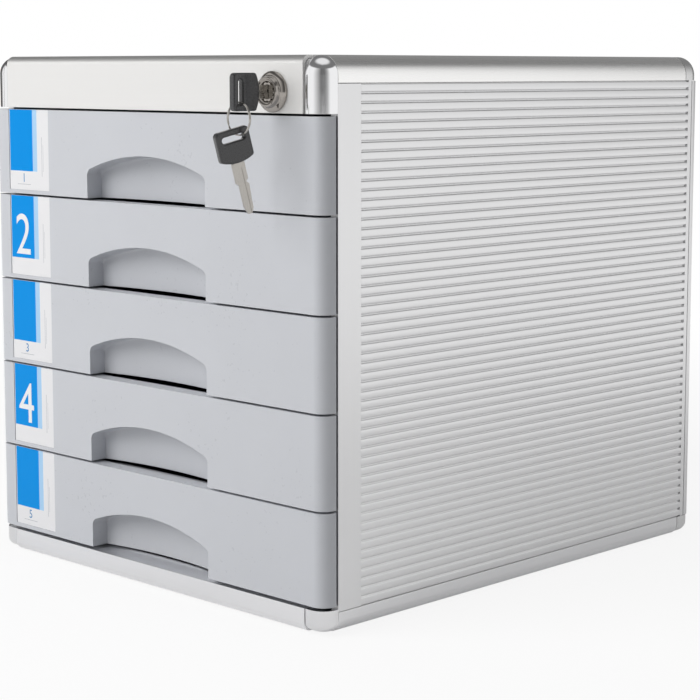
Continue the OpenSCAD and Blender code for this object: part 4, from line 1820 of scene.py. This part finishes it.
@dataclass
class Fasteners:
    """Screws and feet, each a template set on its places."""

    shank_r: float = 1.4
    tip_r: float = 0.5
    tip_l: float = 1.2
    head_r: float = 3.0
    head_t: float = 1.5
    head_rim: float = 0.5
    recess_w: float = 0.8
    recess_l: float = 3.4
    recess_d: float = 0.8
    foot_r: float = 9.0
    foot_rim: float = 0.6
    foot_land: Point = (2.2, 2.6)
    foot_hollow: float = 0.4
    foot_chamfer: Point = (0.15, 0.2)
    builder: Builder = field(default_factory=repeat_builder)

    def screw(self, length: float) -> bpy.types.Object:
        """A screw along Z.

        Args:
            length: Length of its shank.

        Returns:
            The screw, with its head's seat at 0, its domed head above and its shank below.
        """
        dome = self.head_t - self.head_rim
        head = [(self.head_r * u, self.head_rim + dome * v) for u, v in arc((0, 0), 1.0, 0, 90, 6)]
        tip = [(0.0, -length), (self.tip_r, -length)]
        shank = [(self.shank_r, -length + self.tip_l), (self.shank_r, 0.0), (self.head_r, 0.0)]
        piece = lathe([*tip, *shank, *head], 28).piece("screw_template")
        half, wide = self.recess_l / 2, self.recess_w / 2
        floor, above = self.head_t - self.recess_d, self.head_t + BEYOND
        carve(piece, block((-half, -wide, floor), (half, wide, above)))
        carve(piece, block((-wide, -half, floor), (wide, half, above)))
        return piece

    def foot(self, height: float) -> bpy.types.Object:
        """A rubber foot.

        Args:
            height: Its height.

        Returns:
            The foot, standing on 0, with a rounded rim and a shallow hollow below.
        """
        r, rim, hollow, (land, slope) = self.foot_r, self.foot_rim, self.foot_hollow, self.foot_land
        below = [(0.0, hollow), (r - slope, hollow), (r - land, 0.0), (r - rim, 0.0)]
        edge = [(r - self.foot_chamfer[0], rim - self.foot_chamfer[1]), (r, rim)]
        return lathe([*below, *edge, (r, height), (0.0, height)], 48).piece("foot_template")

    def solids(self, node: str, count: int) -> list[Vector]:
        """Finds a node's separate solids.

        Args:
            node: The CAD node.
            count: How many there should be.

        Returns:
            Their middles in millimetres.
        """
        shape = merged_cad(node)
        left = set(shape.verts)
        middles = []
        while left:
            stack, group = [left.pop()], []
            while stack:
                vertex = stack.pop()
                group.append(vertex.co.copy())
                for edge in vertex.link_edges:
                    other = edge.other_vert(vertex)
                    if other in left:
                        left.remove(other)
                        stack.append(other)
            low = Vector(min(c[a] for c in group) for a in range(3))
            high = Vector(max(c[a] for c in group) for a in range(3))
            middles.append((low + high) / 2 / MM)
        shape.free()
        if len(middles) != count:
            LOG.warning("%s has %d solids, not %d", node, len(middles), count)
        return middles

    def screws(self, node: str, count: int, body: str) -> None:
        """Sets screws where a node's solids are, with their heads at the high end of Y.

        Args:
            node: The CAD node.
            count: How many solids it has.
            body: The body that they ride on.
        """
        span = Span.of(node)
        template = self.screw(span.size.y - self.head_t)
        places = [(m.x, span.high.y - self.head_t, m.z) for m in self.solids(node, count)]
        piece = repeat(self.builder, node + "_set", template, places, (-90, 0, 0), STEEL_DEEP)
        deliver(piece, STEEL_DEEP, body, "bright_steel", node)

    def build(self) -> None:
        """Builds the feet and all screws."""
        feet = Span.of("feet")
        places = [(m.x, m.y, feet.low.z) for m in self.solids("feet", 4)]
        piece = repeat(self.builder, "feet_set", self.foot(feet.size.z), places, (0, 0, 0), RUBBER)
        deliver(piece, RUBBER, "root", "rubber_feet", "feet")
        self.screws("back_screws", 8, "root")
        for n in DRAWERS:
            self.screws(f"drawer_screws_{n}", 4, f"drawer_{n}")
        self.build_guide_screws("guide_screws")

    def build_guide_screws(self, node: str) -> None:
        """Builds the screws of both guides, whose heads point inwards.

        Args:
            node: The CAD node that holds them.
        """
        span, middles = Span.of(node), self.solids(node, 8)
        reach = max(abs(span.low.x), abs(span.high.x))
        sets = []
        for side in Side:
            own = [m for m in middles if m.x * side.value > 0]
            inner = min(abs(m.x) for m in own) * 2 - reach
            template = self.screw(reach - inner - self.head_t)
            places = [((inner + self.head_t) * side.value, m.y, m.z) for m in own]
            turn = (0, -90 * side.value, 0)
            sets.append(repeat(self.builder, f"{node}_{side.word}", template, places, turn, STEEL_DEEP))
        deliver(joined(sets), STEEL_DEEP, "root", "bright_steel", node)


# ---------------------------------------------------------------- lock and keys


@dataclass
class Lock:
    """The barrel with its bezel, the plug with its keyway, and what works behind it.

    The bezel's points are measured inwards from its radius and forwards from the header, the
    rim's points outwards from the barrel's radius, and the mouth's points from the bore's.
    """

    barrel_r: float = 8.0
    barrel_l: float = 29.0
    bezel_r: float = 11.5
    bezel: tuple[Point, ...] = ((0.0, 0.0), (0.0, 1.2), (0.5, 1.9), (1.3, 2.5), (2.3, 2.9), (2.6, 3.4))
    rim: tuple[Point, ...] = ((0.6, 4.9), (0.2, 5.7), (-0.3, 6.0), (-0.8, 5.8), (-1.2, 5.3))
    bore_r: float = 5.85
    mouth: tuple[Point, ...] = ((0.5, 5.1), (0.0, 4.9))
    plug_r: float = 5.8
    plug_front: float = 4.6
    plug_bevel: float = 0.5
    keyway_w: float = 2.4
    keyway_h: float = 8.1
    keyway_back: float = 6.0
    notches: int = 10
    notch_r: float = 0.85
    notch_in: float = 0.2
    notch_d: float = 1.3
    easing: float = 0.22
    sharp_over: float = 40.0

    @property
    def axis(self) -> Vector:
        """Where the lock's axis crosses the front face."""
        span = Span.of("lock_barrel")
        return Vector((span.middle.x, Span.of("header").low.y, span.middle.z))

    def turned(self, shape: Shape) -> Shape:
        """Lays a shape that points up Z along the lock's axis, towards the viewer."""
        return shape.moved(Matrix.Translation(self.axis) @ Matrix.Rotation(math.radians(90), 4, "X"))

    def build(self) -> None:
        """Builds and dresses the lock."""
        deliver(self.barrel(), DARK_CHROME, "root", "chromed_trim", "lock_barrel")
        deliver(self.plug(), DARK_CHROME, "lock_plug", "chromed_trim", "lock_plug")
        for node, body, finish, slot in (
            ("lock_cam", "lock_plug", STEEL_UPRIGHT, "bright_steel"),
            ("cam_screw", "lock_plug", STEEL_UPRIGHT, "bright_steel"),
            ("lock_bar", "lock_bar", SHEET, "satin_aluminium"),
        ):
            deliver(eased_copy(node, node + "_eased", self.easing), finish, body, slot, node)

    def barrel(self) -> bpy.types.Object:
        """The barrel.

        Returns:
            The piece, with a stepped bezel and a rolled inner rim.
        """
        r = self.barrel_r
        profile = [
            (self.bore_r, -self.barrel_l),
            (r, -self.barrel_l),
            (r, 0),
            *((self.bezel_r - inwards, ahead) for inwards, ahead in self.bezel),
            *((r + outwards, ahead) for outwards, ahead in self.rim),
            *((self.bore_r + outwards, ahead) for outwards, ahead in self.mouth),
        ]
        piece = self.turned(lathe(profile, 72)).piece("barrel_chrome")
        return smooth(ease(piece, self.easing), self.sharp_over)

    def plug(self) -> bpy.types.Object:
        """The plug.

        Returns:
            The piece, with its keyway and a ring of round notches.
        """
        span = Span.of("lock_plug")
        back = self.axis.y - span.high.y
        front, r, bevel = self.plug_front, self.plug_r, self.plug_bevel
        profile = [(0, back), (r, back), (r, front - bevel), (r - bevel, front), (0, front)]
        piece = self.turned(lathe(profile, 64)).piece("plug_chrome")
        half_w, half_h = self.keyway_w / 2, self.keyway_h / 2
        depth, ahead = -span.size.y + front + self.keyway_back, front + BEYOND
        carve(piece, self.turned(block((-half_w, -half_h, depth), (half_w, half_h, ahead))))
        floor, notch_at = front - self.notch_d, r - self.notch_in
        pit = [(0, floor), (self.notch_r, floor), (self.notch_r, ahead), (0, ahead)]
        for i in range(self.notches):
            turn = math.tau * (i + 0.5) / self.notches
            place = Matrix.Translation((notch_at * math.cos(turn), notch_at * math.sin(turn), 0))
            carve(piece, self.turned(lathe(pit, 14).moved(place)))
        return smooth(piece, self.sharp_over)


@dataclass
class Keys:
    """The key in the lock, the ring through its head and the spare key on the ring."""

    head_l: float = 19.0
    head_w: float = 21.0
    head_t: float = 4.6
    corner_r: float = 2.6
    end_r: float = 24.0
    bevel: float = 1.2
    bevel_steps: int = 4
    bevel_over: float = 50.0
    slot_in: float = 5.2
    slot_l: float = 14.0
    slot_w: float = 3.4
    ring_r: float = 9.0
    ring_turn: float = 200.0
    wire: float = 0.8
    wire_width: float = 0.7
    spare_yaw: float = 15.0
    spare_at: Point = (4.65, 4.6)
    spare_tilt: float = 14.2218
    spare_in: float = 0.03
    blade_easing: float = 0.14
    head_sharp_over: float = 60.0
    blade_sharp_over: float = 40.0

    def head(self, name: str, place: Matrix) -> bpy.types.Object:
        """A moulded head with its slot.

        Args:
            name: Name of the piece.
            place: Moves it from its own frame, where Y runs from its end to the tip.

        Returns:
            The piece.
        """
        half, corner, thick = self.head_w / 2, self.corner_r, self.head_t / 2
        swing = math.degrees(math.asin(half / self.end_r))
        outline = [
            *arc((corner, -half + corner), corner, 180, 270, 6),
            *arc((self.head_l - self.end_r, 0), self.end_r, -swing, swing, 14),
            *arc((corner, half - corner), corner, 90, 180, 6),
        ]
        middle = self.slot_l / 2 - self.slot_w / 2
        slot = [
            *arc((self.slot_in, middle), self.slot_w / 2, 0, 180, 10),
            *arc((self.slot_in, -middle), self.slot_w / 2, 180, 360, 10),
        ]
        piece = prism(outline, Axis.X, -thick, thick).piece(name)
        carve(piece, prism(slot, Axis.X, -thick - BEYOND, thick + BEYOND))
        ease(piece, self.bevel, self.bevel_steps, self.bevel_over)
        piece.data.transform(place)
        return smooth(piece, self.head_sharp_over)

    def build(self) -> None:
        """Builds both keys and the ring."""
        head, ring = Span.of("key_1_head"), Span.of("key_ring")
        first = Matrix.Translation(Vector((head.middle.x, head.low.y, head.middle.z)) * MM)
        hang = Vector((ring.middle.x, ring.middle.y + self.spare_in, ring.middle.z - self.ring_r)) * MM
        spare = (
            Matrix.Translation(hang)
            @ Matrix.Rotation(math.radians(-self.spare_yaw), 4, "Z")
            @ Matrix.Rotation(math.radians(self.spare_tilt - 90), 4, "X")
            @ Matrix.Translation(Vector((0, -self.spare_at[0], -self.spare_at[1])) * MM)
        )
        # The spare key's blade takes a darker tint of the same plated steel: painted shade.
        for body, place, finish in (("key_1", first, STEEL_DEEP), ("key_2", spare, BLADE_STEEL_SHADED)):
            piece = self.head(f"{body}_moulding", place)
            deliver(piece, KEY_PLASTIC, body, "key_plastic", f"{body}_head")
            node, name = f"{body}_blade", f"{body}_steel"
            blade = eased_copy(node, name, self.blade_easing, self.blade_sharp_over)
            deliver(blade, finish, body, "bright_steel", node)
        self.build_ring(ring)

    def build_ring(self, span: Span) -> None:
        """Builds the split ring.

        Args:
            span: The box of the CAD ring.
        """
        piece = ring_builder().run(
            places_host("split_ring"),
            RING_NICKEL,
            Radius=self.ring_r * MM,
            Wire=self.wire * MM,
            Width=self.wire_width * MM,
        )
        upright = Matrix.Rotation(math.radians(90), 4, "X")
        turn = upright @ Matrix.Rotation(math.radians(self.ring_turn), 4, "Z")
        piece.data.transform(Matrix.Translation(span.middle * MM) @ turn)
        deliver(smooth(piece), RING_NICKEL, "key_ring", "bright_steel", "key_ring")


# ---------------------------------------------------------------- studio


@dataclass
class Softbox:
    """A large soft lamp that looks at the middle of the cabinet."""

    name: str
    direction: Vector
    distance: float
    size: float
    power: float
    colour: Colour = (1.0, 1.0, 1.0)

    def build(self, target: Vector) -> None:
        """Hangs the lamp. Metal mirrors the room instead, so the lamp itself doesn't show in gloss.

        Args:
            target: The place that it looks at.
        """
        light = bpy.data.lights.new(self.name, "AREA")
        light.shape = "DISK"
        light.size = self.size
        light.energy = self.power
        light.color = self.colour
        lamp = stand(self.name, light)
        way = self.direction.normalized()
        lamp.location = target + way * self.distance
        lamp.rotation_euler = way.to_track_quat("Z", "Y").to_euler()
        lamp.visible_glossy = False


@dataclass
class Studio:
    """White floor, a pale room for reflections, soft lamps and the camera.

    The room's walls are given as angles about Z and how bright they are there. The valance above
    them and the ceiling start where their rises say, as the height of a ray from 0 to 1.
    """

    lens: float = 99.41
    sensor: float = 36.0
    shift_y: float = -0.07
    place: Place = (0.8983, -0.8967, 0.3175)
    pitch: float = 83.14
    yaw: float = 44.47
    aim: Place = (0.0, 0.0, 0.16)
    ambient: float = 0.18
    floor_size: float = 14.0
    floor_colour: Colour = (0.86, 0.86, 0.865)
    floor_shown: float = 0.88
    floor_mirrored: float = 0.20
    floor_fade: Point = (0.45, 1.3)
    walls: tuple[Point, ...] = (
        (-180, 0.12), (-170, 0.12), (-160, 0.85), (-154, 1.0), (-100, 1.0), (-78, 0.55),
        (-58, 0.16), (-36, 0.18), (-20, 0.45), (-6, 0.95), (4, 1.0), (52, 1.0), (60, 0.42),
        (74, 0.24), (105, 0.25), (140, 0.25), (152, 0.12), (180, 0.12),
    )
    valance: float = 0.2
    valance_rise: Point = (0.58, 0.66)
    ceiling: float = 0.9
    ceiling_rise: Point = (0.84, 0.96)
    lamps: tuple[Softbox, ...] = (
        Softbox("softbox_front", Vector((-0.36, -0.95, 0.66)), 2.2, 1.8, 37.5, (1.0, 0.995, 0.985)),
        Softbox("softbox_right", Vector((0.95, 0.30, 0.55)), 2.2, 1.3, 3.0),
        Softbox("softbox_top", Vector((0.0, 0.15, 1.0)), 2.2, 1.6, 12.0),
    )

    def build(self) -> None:
        """Builds everything around the object."""
        self.build_floor()
        self.build_room()
        for lamp in self.lamps:
            lamp.build(Vector(self.aim))
        self.build_camera()
        bpy.context.scene.view_settings.view_transform = "Standard"

    def build_camera(self) -> None:
        """Sets the camera at the photograph's place."""
        camera = bpy.data.cameras.new("camera")
        camera.lens = self.lens
        camera.sensor_width = self.sensor
        camera.shift_y = self.shift_y
        holder = stand("camera", camera)
        holder.location = self.place
        holder.rotation_euler = Euler((math.radians(self.pitch), 0, math.radians(self.yaw)))
        bpy.context.scene.camera = holder

    def build_floor(self) -> None:
        """A wide floor that is white to the camera and keeps the object's shadow."""
        half = self.floor_size / 2 / MM
        shape = Shape()
        shape.face(shape.ring([(-half, -half, 0), (half, -half, 0), (half, half, 0), (-half, half, 0)]))
        floor = shape.piece("studio_floor")
        material = bpy.data.materials.new("studio_floor")
        material.use_nodes = True
        nodes = Nodes(material.node_tree)
        x, y, _ = nodes.split(nodes.coordinates())
        away = (x * x + y * y) ** 0.5
        near = self.floor_mirrored + self.ray(nodes, "Camera") * (self.floor_shown - self.floor_mirrored)
        share = self.seen(nodes) * (near + away.ramp(*self.floor_fade) * (1 - near))
        lit = nodes.node("ShaderNodeBsdfDiffuse", None, {"Color": (*self.floor_colour, 1.0)})
        glow = nodes.node("ShaderNodeEmission", None, {"Color": (1, 1, 1, 1), "Strength": 1.0})
        mixed = nodes.node("ShaderNodeMixShader", None, {0: share, 1: lit.outputs[0], 2: glow.outputs[0]})
        nodes.node("ShaderNodeOutputMaterial", None, {"Surface": mixed.outputs[0]})
        floor.data.materials.append(material)

    @staticmethod
    def ray(nodes: Nodes, kind: str) -> Value:
        """1 for rays of one kind."""
        return Value(nodes, nodes.node("ShaderNodeLightPath").outputs[f"Is {kind} Ray"])

    def seen(self, nodes: Nodes) -> Value:
        """1 for rays that show the background: from the camera, off gloss or through glass."""
        camera, glossy, through = (self.ray(nodes, kind) for kind in ("Camera", "Glossy", "Transmission"))
        return nodes.math("MINIMUM", camera + glossy + through, 1.0)

    def build_room(self) -> None:
        """The world: white to the camera, a pale room in gloss, plain soft light elsewhere."""
        world = bpy.data.worlds.new("room")
        bpy.context.scene.world = world
        world.use_nodes = True
        nodes = Nodes(world.node_tree)
        x, y, z = nodes.split(nodes.node("ShaderNodeTexCoord").outputs["Generated"])
        turn = nodes.math("ARCTAN2", y, x) / math.tau + 0.5
        stops = [((angle + 180) / 360, (level,) * 3) for angle, level in self.walls]
        walls = nodes.node("ShaderNodeValToRGB", {"stops": stops}, {"Fac": turn}).outputs["Color"]
        walls = nodes.blend(z.ramp(*self.valance_rise), walls, (self.valance,) * 3)
        room = nodes.blend(z.ramp(*self.ceiling_rise), walls, (self.ceiling,) * 3)
        colour = nodes.blend(self.ray(nodes, "Camera"), room, (1.0, 1.0, 1.0))
        shown = nodes.node("ShaderNodeBackground", None, {"Color": colour, "Strength": 1.0})
        light = nodes.node("ShaderNodeBackground", None, {"Color": (1, 1, 1, 1), "Strength": self.ambient})
        shaders = {0: self.seen(nodes), 1: light.outputs[0], 2: shown.outputs[0]}
        mixed = nodes.node("ShaderNodeMixShader", None, shaders)
        nodes.node("ShaderNodeOutputWorld", None, {"Surface": mixed.outputs[0]})


def main() -> None:
    """Builds the studio and the cabinet."""
    logging.basicConfig(level=logging.INFO, format="%(name)s: %(message)s")
    Studio().build()
    lock = Lock()
    Extrusions().build(lock.axis)
    PlainMetal().build()
    GroovedPanels().build()
    CornerCaps().build()
    DrawerFronts().build()
    Trays().build()
    Fasteners().build()
    lock.build()
    Keys().build()


if __name__ == "__main__":
    main()
